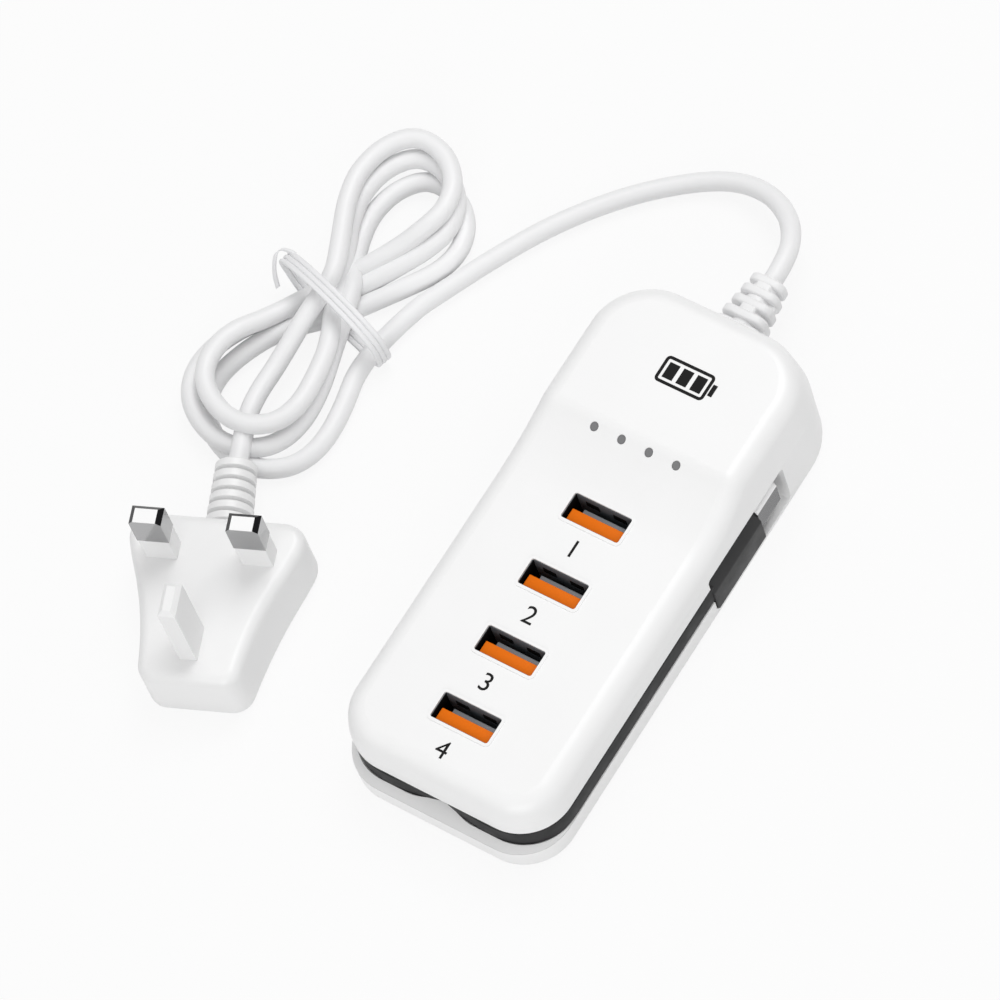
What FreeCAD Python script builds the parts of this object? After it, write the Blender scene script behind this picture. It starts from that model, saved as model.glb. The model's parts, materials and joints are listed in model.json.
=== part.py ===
import FreeCAD, Part
import math
import os

import Sketcher

# Driving sizes, in millimetres and degrees
SIZES = {
    # Housing: X is the width, Y the length with the head at +Y, Z is up from the table
    "case_width": 55.0,
    "case_length": 128.8,
    "head_height": 27.4,
    "panel_height": 22.4,
    "shoulder_height": 16.0,
    "seam_height": 12.2,
    "ledge_height": 5.9,
    "side_draft": 10.0,
    "head_corner": 16.0,
    "front_corner": 12.0,
    "cover_setback": 2.5,
    "top_round": 4.5,
    "shoulder_round": 3.0,
    "crest_round": 5.0,
    "base_round": 1.0,
    "wall": 2.0,
    "floor_thickness": 2.0,
    "groove_depth": 3.0,
    "seat_gap": 0.2,
    # Step between the head and the socket panel
    "head_length": 35.6,
    "ramp_length": 21.0,
    # Sockets
    "first_port": 18.65,
    "port_pitch": 18.0,
    "port_width": 14.9,
    "port_depth": 6.6,
    "port_corner": 0.6,
    "rim_width": 0.7,
    "rim_height": 0.2,
    "shell_width": 14.3,
    "shell_depth": 6.0,
    "shell_wall": 0.35,
    "shell_recess": 0.3,
    "spring_width": 2.6,
    "spring_length": 4.5,
    "spring_pitch": 6.6,
    "tongue_width": 12.2,
    "tongue_thickness": 2.1,
    "tongue_recess": 1.2,
    "tongue_gap": 0.35,
    "insert_height": 4.0,
    "contact_width": 1.0,
    "contact_thickness": 0.25,
    "contact_pitch": 2.4,
    "contact_recess": 1.2,
    # Circuit board and what stands on it
    "board_height": 6.0,
    "board_thickness": 1.6,
    "board_margin": 0.5,
    "board_corner": 1.0,
    "board_front_gap": 13.5,
    "post_radius": 2.6,
    "post_inset": 3.6,
    "post_back_inset": 12.0,
    "pin_radius": 1.1,
    "led_pitch": 7.1,
    "led_setback": 3.1,
    "led_radius": 0.9,
    "led_gap": 0.1,
    "chip_width": 1.8,
    "chip_height": 0.7,
    "core_width": 22.0,
    "core_height": 15.0,
    "core_depth": 7.0,
    "core_leg": 3.6,
    "coil_depth": 15.0,
    "core_back_gap": 19.0,
    "core_offset": 7.0,
    "mains_capacitor_radius": 5.0,
    "mains_capacitor_height": 15.0,
    "output_capacitor_radius": 4.0,
    "output_capacitor_height": 10.5,
    "output_capacitor_pitch": 18.0,
    "component_gap": 2.0,
    "rectifier_width": 9.0,
    "rectifier_depth": 7.0,
    "rectifier_height": 3.0,
    "fuse_radius": 1.8,
    "fuse_length": 9.0,
    # Mains lead: gland in the head's end wall and cord
    "cord_diameter": 4.6,
    "relief_length": 15.0,
    "ring_width": 12.0,
    "ring_height": 9.0,
    "ring_thickness": 2.0,
    "ring_taper": 0.5,
    "ring_corner": 2.4,
    "relief_core": 6.4,
    "bridge_width": 2.4,
    "neck_diameter": 8.0,
    "flange_thickness": 1.8,
    "flange_inset": 0.9,
    "wire_radius": 1.0,
    "wire_pitch": 3.4,
    "wire_overlap": 5.0,
    "hank_height": 10.6,
    "tie_width": 4.0,
    "tie_thickness": 1.0,
    "tie_gap": 0.2,
    "tie_length": 35.0,
    "tie_tail": 6.0,
    "tie_tail_radius": 1.5,
    # Captive charging leads in the side groove
    "lead_thickness": 2.8,
    "lead_height": 5.9,
    "lead_edge": 0.6,
    "lead_bend": 6.0,
    "lead_spread": 3.2,
    "lead_corner": 11.0,
    "lead_reach": 0.8,
    "lead_slot": 13.0,
    "grip_start": 73.1,
    "grip_length": 20.0,
    "grip_thickness": 4.0,
    "grip_height": 13.0,
    "grip_foot": 2.2,
    "grip_chamfer": 2.0,
    "grip_proud": 0.4,
    "plug_tip_length": 8.0,
    "plug_tip_width": 8.3,
    "plug_tip_thickness": 2.6,
    "plug_tip_wall": 0.35,
    "plug_tip_insert": 1.0,
    "pocket_gap": 0.35,
    "pocket_tail": 3.0,
    "pocket_corner": 1.1,
    # Three-pin mains plug, lying on its back
    "plug_x": -75.4,
    "plug_y": -36.2,
    "plug_yaw": 22.0,
    "plug_thickness": 16.0,
    "plug_wide": 45.0,
    "plug_narrow": 23.0,
    "plug_back": 9.5,
    "plug_front": 31.5,
    "plug_back_corner": 8.0,
    "plug_nose_corner": 4.0,
    "plug_edge": 2.2,
    "pin_spacing": 22.2,
    "earth_spacing": 22.2,
    "pin_width": 6.35,
    "pin_thickness": 4.0,
    "pin_length": 17.7,
    "pin_corner": 0.5,
    "pin_bevel": 1.0,
    "sleeve_length": 9.0,
    "sleeve_wall": 0.35,
    "earth_width": 4.0,
    "earth_depth": 8.0,
    "earth_length": 22.7,
    "boot_length": 17.5,
    "boot_height": 7.0,
    "boot_radius": 5.2,
    "boot_core": 4.2,
    "boot_rib": 2.3,
}

PORTS = 4
LEDS = 4
CONTACTS = 4
RINGS = 4
BOOT_RIBS = 6
# Part of the edge rounding that the room inside keeps clear of
SOFT_SHARE = 0.3

# Free run of the mains cord after the gland, in millimetres, chosen by hand
CORD_ROUTE = [
    (0.0, 83.9, 12.2),
    (-1.2, 89.9, 11.4),
    (-5.5, 95.6, 9.2),
    (-13.3, 99.8, 6.4),
    (-23.1, 100.2, 3.8),
    (-33.3, 95.6, 2.3),
    (-44.8, 86.0, 2.3),
    (-56.0, 72.3, 2.3),
    (-64.6, 58.0, 2.3),
    (-69.8, 46.6, 2.3),
    (-72.2, 39.4, 2.3),
]
# The tied bundle: its two lobes as centre and radius, and the radius of its waist
HANK_HEAD = (-87.0, 58.4)
HANK_HEAD_RADIUS = 16.5
HANK_FOOT = (-92.0, 9.0)
HANK_FOOT_RADIUS = 17.6
HANK_WAIST_RADIUS = 80.0
HANK_STUB = 14.0
TIE_CENTRE = (-88.6, 31.2)
TIE_YAW = -15.0

document = FreeCAD.newDocument("usb_power_strip")
sheet = document.addObject("Spreadsheet::Sheet", "dims")
for row, (alias, number) in enumerate(SIZES.items(), start=1):
    sheet.set(f"A{row}", alias)
    sheet.set(f"B{row}", str(number))
    sheet.setAlias(f"B{row}", alias)
document.recompute()


class Size:
    """A length that knows its value now and the sheet expression that drives it."""

    def __init__(self, value, text):
        self.value = value
        self.text = text

    def __add__(self, other):
        other = as_size(other)
        return Size(self.value + other.value, f"({self.text} + {other.text})")

    def __sub__(self, other):
        other = as_size(other)
        return Size(self.value - other.value, f"({self.text} - {other.text})")

    def __mul__(self, other):
        other = as_size(other)
        return Size(self.value * other.value, f"({self.text} * {other.text})")

    def __truediv__(self, other):
        other = as_size(other)
        return Size(self.value / other.value, f"({self.text} / {other.text})")

    def __neg__(self):
        return Size(-self.value, f"(0 - {self.text})")

    __radd__ = __add__
    __rmul__ = __mul__


def as_size(item):
    """Wraps a plain number as a size."""
    return item if isinstance(item, Size) else Size(float(item), str(item))


class Sizes:
    """The sheet's cells as attributes."""

    def __init__(self, names):
        for name in names:
            setattr(self, name, Size(float(sheet.get(name)), f"dims.{name}"))


d = Sizes(SIZES)
ZERO = as_size(0)
nodes = []

# Places that several pieces share
half_width = d.case_width / 2
back_y = d.case_length / 2
front_y = -back_y
cover_front_y = front_y + d.cover_setback
step_y = back_y - d.head_length
board_top = d.board_height + d.board_thickness
shell_top = d.panel_height - d.shell_recess
inner_half = half_width - d.groove_depth
inner_front_y = cover_front_y + d.groove_depth
grip_y = front_y + d.grip_start
grip_end_y = grip_y + d.grip_length
pocket_end_y = grip_end_y + d.plug_tip_length + d.pocket_tail
grip_outer = half_width + d.grip_proud
grip_inner = grip_outer - d.grip_thickness
pocket_inner = grip_inner - d.pocket_gap
lead_middle = d.ledge_height + d.lead_height / 2
grip_high = d.grip_foot + d.grip_height
pocket_low = d.grip_foot - d.pocket_gap
pocket_high = grip_high + d.pocket_gap
groove_corner = d.lead_corner - d.lead_thickness / 2 - d.seat_gap
cavity_half = pocket_inner - d.wall
overshoot = d.wall


def bind(item, **properties):
    """Ties properties of a document object to sheet expressions."""
    for name, size in properties.items():
        item.setExpression(name, as_size(size).text)
    return item


def move(item, x=ZERO, y=ZERO, z=ZERO):
    """Ties an object's place to sheet expressions."""
    for axis, size in zip("xyz", (x, y, z)):
        item.setExpression(f"Placement.Base.{axis}", as_size(size).text)
    return item


def node(label, item):
    """Registers a finished sub-part under its own label."""
    item.Label = label
    nodes.append(item)
    return item


def box(name, x, y, z):
    """A block between two sizes along each axis."""
    item = document.addObject("Part::Box", name)
    bind(item, Length=x[1] - x[0], Width=y[1] - y[0], Height=z[1] - z[0])
    return move(item, x[0], y[0], z[0])


def cylinder(name, radius, height, x=ZERO, y=ZERO, z=ZERO, axis="Z"):
    """A round bar that starts at a point and runs along Z, or along Y or X."""
    item = document.addObject("Part::Cylinder", name)
    turns = {"Z": FreeCAD.Rotation(), "Y": FreeCAD.Rotation(FreeCAD.Vector(1, 0, 0), -90),
             "X": FreeCAD.Rotation(FreeCAD.Vector(0, 1, 0), 90)}
    item.Placement = FreeCAD.Placement(FreeCAD.Vector(), turns[axis])
    bind(item, Radius=radius, Height=height)
    return move(item, x, y, z)


def fuse(name, items):
    """One solid from several that touch or overlap."""
    item = document.addObject("Part::MultiFuse", name)
    item.Shapes = list(items)
    item.Refine = True
    return item


def cut(name, base, *tools):
    """A solid less one or more tools."""
    item = document.addObject("Part::Cut", name)
    item.Base = base
    item.Tool = tools[0] if len(tools) == 1 else fuse(f"{name}_tools", tools)
    item.Refine = True
    return item


def common(name, first, second):
    """What two solids share."""
    item = document.addObject("Part::Common", name)
    item.Base = first
    item.Tool = second
    return item


def group(name, items):
    """Separate solids that are kept in one node."""
    item = document.addObject("Part::Compound", name)
    item.Links = list(items)
    return item


def new_sketch(body, name, role="XY_Plane", offset=ZERO):
    """A sketch on one of the body's own planes, shifted along its normal."""
    sketch = body.newObject("Sketcher::SketchObject", name)
    plane = next(item for item in body.Origin.OriginFeatures if item.Role == role)
    sketch.AttachmentSupport = [(plane, "")]
    sketch.MapMode = "FlatFace"
    sketch.setExpression("AttachmentOffset.Base.z", as_size(offset).text)
    return sketch


def constrain(sketch, name, kind, *places, size):
    """Adds a dimension to a sketch and ties it to a size."""
    index = sketch.addConstraint(Sketcher.Constraint(kind, *places, size.value))
    sketch.renameConstraint(index, name)
    sketch.setExpression(f"Constraints.{name}", size.text)


def draw_lines(sketch, points):
    """Straight edges through points, joined end to end and closed, each point tied to its sizes."""
    count = len(points)
    corners = [FreeCAD.Vector(p[0].value, p[1].value, 0) for p in points]
    for index in range(count):
        edge = Part.LineSegment(corners[index], corners[(index + 1) % count])
        sketch.addGeometry(edge, False)
    for index in range(count):
        sketch.addConstraint(Sketcher.Constraint("Coincident", index, 2, (index + 1) % count, 1))
    for index, (across, along) in enumerate(points):
        constrain(sketch, f"across_{index}", "DistanceX", -1, 1, index, 1, size=across)
        constrain(sketch, f"along_{index}", "DistanceY", -1, 1, index, 1, size=along)


def draw_rounded(sketch, across, along, low_radius, high_radius, high_across=None):
    """A four-sided outline with tangent corner arcs, its high end as wide as the low end or not."""
    high_across = high_across or across
    low, high = along[0].value, along[1].value
    corners = [(across[0].value, low), (across[1].value, low),
               (high_across[1].value, high), (high_across[0].value, high)]
    radii = [low_radius.value, low_radius.value, high_radius.value, high_radius.value]
    starts, ends, centres = [], [], []
    for index, (corner, radius) in enumerate(zip(corners, radii)):
        start, end, centre = corner_arc(corners[index - 1], corner, corners[(index + 1) % 4], radius)
        starts.append(start)
        ends.append(end)
        centres.append(centre)
    for index in range(4):
        edge = Part.LineSegment(ends[index], starts[(index + 1) % 4])
        sketch.addGeometry(edge, False)
    for start, end, centre, radius in zip(starts, ends, centres, radii):
        circle = Part.Circle(centre, FreeCAD.Vector(0, 0, 1), radius)
        angles = [math.atan2(p.y - centre.y, p.x - centre.x) for p in (start, end)]
        sketch.addGeometry(Part.ArcOfCircle(circle, *angles), False)
    for index in range(4):
        arc = 4 + index
        sketch.addConstraint(Sketcher.Constraint("Tangent", arc, 2, index, 1))
        sketch.addConstraint(Sketcher.Constraint("Tangent", (index - 1) % 4, 2, arc, 1))
    sketch.addConstraint(Sketcher.Constraint("Horizontal", 0))
    sketch.addConstraint(Sketcher.Constraint("Horizontal", 2))
    sketch.addConstraint(Sketcher.Constraint("Equal", 4, 5))
    sketch.addConstraint(Sketcher.Constraint("Equal", 6, 7))
    constrain(sketch, "low_radius", "Radius", 4, size=low_radius)
    constrain(sketch, "high_radius", "Radius", 6, size=high_radius)
    constrain(sketch, "low", "DistanceY", -1, 1, 0, 1, size=along[0])
    constrain(sketch, "high", "DistanceY", -1, 1, 2, 1, size=along[1])
    if high_across is across:
        sketch.addConstraint(Sketcher.Constraint("Vertical", 1))
        sketch.addConstraint(Sketcher.Constraint("Vertical", 3))
        constrain(sketch, "left", "DistanceX", -1, 1, 3, 1, size=across[0])
        constrain(sketch, "right", "DistanceX", -1, 1, 1, 1, size=across[1])
        return
    ends_tied = [("low_right", 1, across[1], along[0]), ("high_right", 1, high_across[1], along[1]),
                 ("low_left", 3, across[0], along[0]), ("high_left", 3, high_across[0], along[1])]
    for name, edge, x, y in ends_tied:
        spot = sketch.addGeometry(Part.Point(FreeCAD.Vector(x.value, y.value, 0)), True)
        sketch.addConstraint(Sketcher.Constraint("PointOnObject", spot, 1, edge))
        constrain(sketch, f"{name}_x", "DistanceX", -1, 1, spot, 1, size=x)
        constrain(sketch, f"{name}_y", "DistanceY", -1, 1, spot, 1, size=y)


def corner_arc(before, corner, after, radius):
    """Where an arc of a radius leaves the two edges at a corner, and its centre."""
    origin = FreeCAD.Vector(*corner, 0)
    back = (FreeCAD.Vector(*before, 0) - origin).normalize()
    ahead = (FreeCAD.Vector(*after, 0) - origin).normalize()
    half = back.getAngle(ahead) / 2
    reach = radius / math.tan(half)
    middle = (back + ahead).normalize()
    return origin + back * reach, origin + ahead * reach, origin + middle * (radius / math.sin(half))


def pad(body, sketch, length, draft=None, middle=False):
    """Raises a sketch into a solid, leaning inwards by a draft angle if one is given."""
    feature = body.newObject("PartDesign::Pad", "Pad")
    feature.Profile = sketch
    feature.setExpression("Length", as_size(length).text)
    feature.Midplane = middle
    if draft is not None:
        feature.setExpression("TaperAngle", (-draft).text)
    return feature


def pocket(body, sketch, length):
    """Sinks a sketch into the solid, along the way the sketch faces."""
    feature = body.newObject("PartDesign::Pocket", "Pocket")
    feature.Profile = sketch
    feature.setExpression("Length", as_size(length).text)
    feature.Reversed = True
    return feature


def new_body(name):
    """An empty body."""
    return document.addObject("PartDesign::Body", name)


def prism(name, across, along, low_radius, high_radius, z, draft=None, high_across=None):
    """A body of one rounded outline raised between two heights."""
    body = new_body(name)
    sketch = new_sketch(body, f"{name}_outline", offset=z[0])
    draw_rounded(sketch, across, along, low_radius, high_radius, high_across)
    pad(body, sketch, z[1] - z[0], draft)
    return body


def round_edges(body, name, radius, wanted, feature="PartDesign::Fillet"):
    """Rounds, or bevels, the edges of a body that a test picks."""
    document.recompute()
    base = body.Tip
    picked = [f"Edge{index}" for index, edge in enumerate(base.Shape.Edges, start=1) if wanted(edge)]
    item = body.newObject(feature, name)
    item.Base = (base, picked)
    item.setExpression("Radius" if feature.endswith("Fillet") else "Size", radius.text)
    return item


def fillet(name, base, radius, wanted):
    """Rounds the edges of a boolean result that a test picks."""
    document.recompute()
    item = document.addObject("Part::Fillet", name)
    item.Base = base
    item.Edges = [(index, radius.value, radius.value)
                  for index, edge in enumerate(base.Shape.Edges, start=1) if wanted(edge)]
    return item


def lies_at(height):
    """A test for edges that lie flat at one height."""
    return lambda edge: all(abs(v - height.value) < 1e-5 for v in (edge.BoundBox.ZMin, edge.BoundBox.ZMax))


def port_y(index):
    """The middle of a socket, counted from the head."""
    return front_y + d.first_port + d.port_pitch * (PORTS - 1 - index)


def mirrored(size, side):
    """A place on the right side, or its mirror image on the left."""
    return size if side > 0 else -size


def span(inner, outer, side):
    """A stretch along X on the right side, or its mirror image on the left, low end first."""
    return (inner, outer) if side > 0 else (-outer, -inner)


def housing_blank():
    """Walls of the cover before its top is shaped: upright skirt and leaning shoulders."""
    body = new_body("housing_blank")
    across = (-half_width, half_width)
    along = (cover_front_y, back_y)
    skirt = new_sketch(body, "skirt_outline", offset=d.seam_height)
    draw_rounded(skirt, across, along, d.front_corner, d.head_corner)
    pad(body, skirt, d.shoulder_height - d.seam_height)
    upper = new_sketch(body, "shoulder_outline", offset=d.shoulder_height)
    draw_rounded(upper, across, along, d.front_corner, d.head_corner)
    pad(body, upper, d.head_height + overshoot - d.shoulder_height, d.side_draft)
    round_edges(body, "shoulder_rounding", d.shoulder_round, lies_at(d.shoulder_height))
    return body


def top_profile(name):
    """Everything below the top: level panel, hollow ramp, rounded crest and level head."""
    body = new_body(name)
    sketch = new_sketch(body, f"{name}_sketch", "YZ_Plane")
    level_y = step_y - d.ramp_length
    ends = (front_y - overshoot, back_y + overshoot)
    tilt = 2 * math.atan((d.head_height - d.panel_height).value / d.ramp_length.value)
    hollow = d.ramp_length.value / math.sin(tilt) - d.crest_round.value
    upward = FreeCAD.Vector(0, 0, 1)
    low_ring = Part.Circle(FreeCAD.Vector(level_y.value, d.panel_height.value + hollow, 0), upward, hollow)
    high_middle = FreeCAD.Vector(step_y.value, (d.head_height - d.crest_round).value, 0)
    high_ring = Part.Circle(high_middle, upward, d.crest_round.value)
    corners = [(ends[0], d.panel_height), (level_y, d.panel_height), (step_y, d.head_height),
               (ends[1], d.head_height), (ends[1], ZERO), (ends[0], ZERO)]
    spots = [FreeCAD.Vector(y.value, z.value, 0) for y, z in corners]
    for first, last in ((0, 1), (2, 3), (3, 4), (4, 5), (5, 0)):
        sketch.addGeometry(Part.LineSegment(spots[first], spots[last]), False)
    sketch.addGeometry(Part.ArcOfCircle(low_ring, -math.pi / 2, -math.pi / 2 + tilt), False)
    sketch.addGeometry(Part.ArcOfCircle(high_ring, math.pi / 2, math.pi / 2 + tilt), False)
    for pair in ((0, 2, 5, 1), (5, 2, 6, 2), (6, 1, 1, 1)):
        sketch.addConstraint(Sketcher.Constraint("Tangent", *pair))
    for first, last in ((1, 2), (2, 3), (3, 4), (4, 0)):
        sketch.addConstraint(Sketcher.Constraint("Coincident", first, 2, last, 1))
    for index, kind in enumerate(("Horizontal", "Horizontal", "Vertical", "Horizontal", "Vertical")):
        sketch.addConstraint(Sketcher.Constraint(kind, index))
    constrain(sketch, "level_y", "DistanceX", -1, 1, 5, 1, size=level_y)
    constrain(sketch, "crest_y", "DistanceX", -1, 1, 6, 1, size=step_y)
    constrain(sketch, "crest_radius", "Radius", 6, size=d.crest_round)
    for index, axis, place in ((0, "DistanceX", ends[0]), (0, "DistanceY", d.panel_height),
                               (2, "DistanceX", ends[1]), (2, "DistanceY", d.head_height),
                               (3, "DistanceY", ZERO)):
        constrain(sketch, f"corner_{index}_{axis}", axis, -1, 1, index, 1, size=place)
    pad(body, sketch, d.case_width, middle=True)
    return body


def rims_the_top(edge):
    """A test for the edges where the top meets the walls, not those across the top."""
    extent = edge.BoundBox
    inner_y = (cover_front_y.value + d.front_corner.value, back_y.value - d.head_corner.value)
    across = extent.XLength > half_width.value and inner_y[0] < extent.YMin < inner_y[1]
    return extent.ZMin > d.panel_height.value - 1e-5 and not across


def connector_pockets(name):
    """Rounded recesses in both flanks that take the grips and tips of the charging leads."""
    tools = []
    for side in (1, -1):
        low, high = span(pocket_inner, grip_outer + overshoot, side)
        body = new_body(f"{name}_pocket")
        sketch = new_sketch(body, f"{name}_pocket_outline", "YZ_Plane", low)
        draw_rounded(sketch, (grip_y - d.pocket_gap, pocket_end_y), (pocket_low, pocket_high),
                     d.pocket_corner, d.pocket_corner)
        pad(body, sketch, high - low)
        tools.append(body)
    return tools


def pocket_linings(low, high):
    """Blocks that stay solid behind the recesses."""
    return [box("pocket_lining", span(cavity_half, half_width, side),
                (grip_y - d.pocket_gap - d.wall, pocket_end_y + d.wall), (low, high)) for side in (1, -1)]


def gland_hole():
    """Round hole through the end wall, half in the cover and half in the base."""
    length = d.wall + overshoot * 2
    return cylinder("gland_hole", d.neck_diameter / 2 + d.seat_gap / 2, length,
                    y=back_y - d.wall - overshoot, z=d.seam_height, axis="Y")


def top_cover():
    """Moulded cover: head, stepped socket panel with rims and openings, roof of the lead groove."""
    outer = common("cover_outer", top_profile("cover_top"), housing_blank())
    soft = fillet("cover_soft", outer, d.top_round, rims_the_top)
    rims = []
    holes = []
    for index in range(PORTS):
        y = port_y(index)
        hole_x = (-d.port_width / 2, d.port_width / 2)
        hole_y = (y - d.port_depth / 2, y + d.port_depth / 2)
        rim_x = (hole_x[0] - d.rim_width, hole_x[1] + d.rim_width)
        rim_y = (hole_y[0] - d.rim_width, hole_y[1] + d.rim_width)
        rim_corner = d.port_corner + d.rim_width
        rims.append(prism(f"port_rim_{index + 1}", rim_x, rim_y, rim_corner, rim_corner,
                          (d.panel_height - d.wall / 2, d.panel_height + d.rim_height)))
        holes.append(prism(f"port_hole_{index + 1}", hole_x, hole_y, d.port_corner, d.port_corner,
                           (d.panel_height - d.wall - overshoot, d.panel_height + overshoot)))
    led_holes = [cylinder("led_hole", d.led_radius + d.led_gap, d.head_height - d.shoulder_height,
                          x, step_y - d.led_setback, d.shoulder_height) for x in led_places()]
    rimmed = fuse("cover_rimmed", [soft] + rims)
    linings = pocket_linings(d.seam_height - overshoot, pocket_high + d.wall)
    cavity = cut("cover_cavity", cover_space(), *linings)
    pockets = connector_pockets("cover")
    return node("top_cover", cut("cover", rimmed, cavity, *holes, *led_holes, *pockets, gland_hole()))


def cover_space():
    """Room inside the cover, narrow where it rests on the base and taller under the head."""
    narrow = d.groove_depth + d.wall
    flange_z = d.seam_height + d.wall
    roof_z = d.panel_height - d.wall
    low_x = (-(half_width - narrow), half_width - narrow)
    low = prism("cover_space_low", low_x, (cover_front_y + narrow, back_y - d.wall),
                groove_corner - d.wall, d.head_corner - d.wall, (d.seam_height - overshoot, flange_z))
    wide_x = (-(half_width - d.wall), half_width - d.wall)
    wide_y = (cover_front_y + d.wall, back_y - d.wall)
    corners = (d.front_corner - d.wall, d.head_corner - d.wall)
    middle = prism("cover_space_middle", wide_x, wide_y, *corners, (flange_z, d.shoulder_height))
    inset = d.wall + d.top_round * SOFT_SHARE
    slim_x = (-(half_width - inset), half_width - inset)
    slim_y = (cover_front_y + inset, back_y - inset)
    slim = (d.front_corner - inset, d.head_corner - inset)
    upper = prism("cover_space_upper", slim_x, slim_y, *slim, (d.shoulder_height, roof_z), d.side_draft)
    head = prism("cover_space_head", slim_x, slim_y, *slim,
                 (d.shoulder_height, d.head_height - d.wall), d.side_draft)
    behind_step = box("behind_step", (-half_width, half_width), (step_y + d.wall, back_y),
                      (d.shoulder_height, d.head_height))
    return fuse("cover_space", [low, middle, upper, common("head_space", head, behind_step)])


def led_places():
    """Places of the indicator lights across the step."""
    return [d.led_pitch * (index - (LEDS - 1) / 2) for index in range(LEDS)]


def post_places():
    """Places of the posts that carry the circuit board."""
    x = board_half() - d.post_inset
    return [(mirrored(x, side), y) for side in (1, -1)
            for y in (board_front() + d.post_inset, board_back() - d.post_back_inset)]


def board_half():
    """Half the width of the circuit board."""
    return cavity_half - d.board_margin


def board_front():
    """Front edge of the circuit board."""
    return front_y + d.board_front_gap


def board_back():
    """Rear edge of the circuit board, clear of the gland's flange."""
    return back_y - d.wall - d.flange_thickness - d.board_margin


def base_case():
    """Moulded tray: ledge and groove for the leads, end wall, posts for the board."""
    body = prism("base_blank", (-half_width, half_width), (front_y, back_y), d.front_corner, d.head_corner,
                 (ZERO, d.seam_height))
    round_edges(body, "base_rounding", d.base_round, lies_at(ZERO))
    ring = box("groove_zone", (-(half_width + overshoot), half_width + overshoot),
               (front_y - overshoot, pocket_end_y), (d.ledge_height, d.seam_height + overshoot))
    core = prism("groove_core", (-inner_half, inner_half), (inner_front_y, back_y + d.groove_depth),
                 groove_corner, d.head_corner, (ZERO, d.head_height))
    groove = cut("groove", ring, core)
    narrow = d.groove_depth + d.wall
    space_x = (-(half_width - narrow), half_width - narrow)
    space = prism("base_space", space_x, (cover_front_y + narrow, back_y - d.wall),
                  groove_corner - d.wall, d.head_corner - d.wall,
                  (d.floor_thickness, d.seam_height + overshoot))
    cavity = cut("base_cavity", space, *pocket_linings(ZERO, d.seam_height + overshoot))
    slot = box("lead_slot", (-d.lead_slot / 2, d.lead_slot / 2),
               (front_y, cover_front_y + narrow + overshoot), (d.ledge_height, d.seam_height + overshoot))
    front_lip = box("front_lip_keep", (-half_width, half_width), (front_y - overshoot, inner_front_y),
                    (ZERO, d.ledge_height))
    pockets = connector_pockets("base")
    tray = cut("tray", body, groove, cavity, cut("lead_mouth", slot, front_lip), *pockets, gland_hole())
    posts = []
    for x, y in post_places():
        posts.append(cylinder("post", d.post_radius, d.board_height - d.floor_thickness / 2,
                              x, y, d.floor_thickness / 2))
        posts.append(cylinder("post_pin", d.pin_radius, board_top - d.floor_thickness,
                              x, y, d.floor_thickness))
    return node("base_case", fuse("base", [tray] + posts))


def circuit_board():
    """Board on the four posts."""
    half = board_half()
    plate = prism("board_plate", (-half, half), (board_front(), board_back()), d.board_corner,
                  d.head_corner - d.wall, (d.board_height, board_top))
    holes = [cylinder("board_hole", d.pin_radius + d.seat_gap / 2, d.board_thickness * 3, x, y,
                      d.board_height - d.board_thickness) for x, y in post_places()]
    return node("circuit_board", cut("board", plate, *holes))


def usb_shell(index):
    """Folded metal shell of one socket, with two spring windows in each broad side."""
    y = port_y(index)
    half_x = d.shell_width / 2
    half_y = d.shell_depth / 2
    outer = box("shell_outer", (-half_x, half_x), (y - half_y, y + half_y), (board_top, shell_top))
    inner = box("shell_inner", (-half_x + d.shell_wall, half_x - d.shell_wall),
                (y - half_y + d.shell_wall, y + half_y - d.shell_wall),
                (board_top - overshoot, shell_top + overshoot))
    window_top = shell_top - d.spring_width / 2
    windows = []
    for side in (1, -1):
        middle = mirrored(d.spring_pitch / 2, side)
        windows.append(box("spring_window", (middle - d.spring_width / 2, middle + d.spring_width / 2),
                           (y - d.shell_depth, y + d.shell_depth),
                           (window_top - d.spring_length, window_top)))
    return node(f"usb_shell_{index + 1}", cut(f"shell_{index + 1}", outer, inner, *windows))


def tongue_front(index):
    """Front face of a socket's tongue."""
    return port_y(index) - d.shell_depth / 2 + d.shell_wall + d.tongue_gap


def usb_tongue(index):
    """Moulded insert of one socket: block at the foot and the tongue that carries the contacts."""
    y = port_y(index)
    half_x = d.shell_width / 2 - d.shell_wall - d.seat_gap / 2
    half_y = d.shell_depth / 2 - d.shell_wall - d.seat_gap / 2
    block = box("insert_block", (-half_x, half_x), (y - half_y, y + half_y),
                (board_top, board_top + d.insert_height))
    tongue = box("tongue_blade", (-d.tongue_width / 2, d.tongue_width / 2),
                 (tongue_front(index), tongue_front(index) + d.tongue_thickness),
                 (board_top, shell_top - d.tongue_recess))
    return node(f"usb_tongue_{index + 1}", fuse(f"tongue_{index + 1}", [block, tongue]))


def usb_contacts(index):
    """Four contact strips on the rear face of one tongue."""
    y = tongue_front(index) + d.tongue_thickness
    strips = []
    for place in range(CONTACTS):
        x = d.contact_pitch * (place - (CONTACTS - 1) / 2)
        strips.append(box("contact_strip", (x - d.contact_width / 2, x + d.contact_width / 2),
                          (y, y + d.contact_thickness),
                          (board_top + d.insert_height, shell_top - d.tongue_recess - d.contact_recess)))
    return node(f"usb_contacts_{index + 1}", group(f"contacts_{index + 1}", strips))


def indicator_lights():
    """Four light guides that end flush with the ramp, each standing on its own light."""
    y = step_y - d.led_setback
    foot = board_top + d.chip_height
    guides = [cylinder("guide", d.led_radius, d.head_height - foot, x, y, foot) for x in led_places()]
    bars = group("guide_bars", guides)
    node("led_light_guides", common("light_guides", bars, top_profile("guide_trim")))
    half = d.chip_width / 2
    chips = [box("chip", (x - half, x + half), (y - half, y + half), (board_top, foot)) for x in led_places()]
    return node("led_chips", group("lights", chips))


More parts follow.
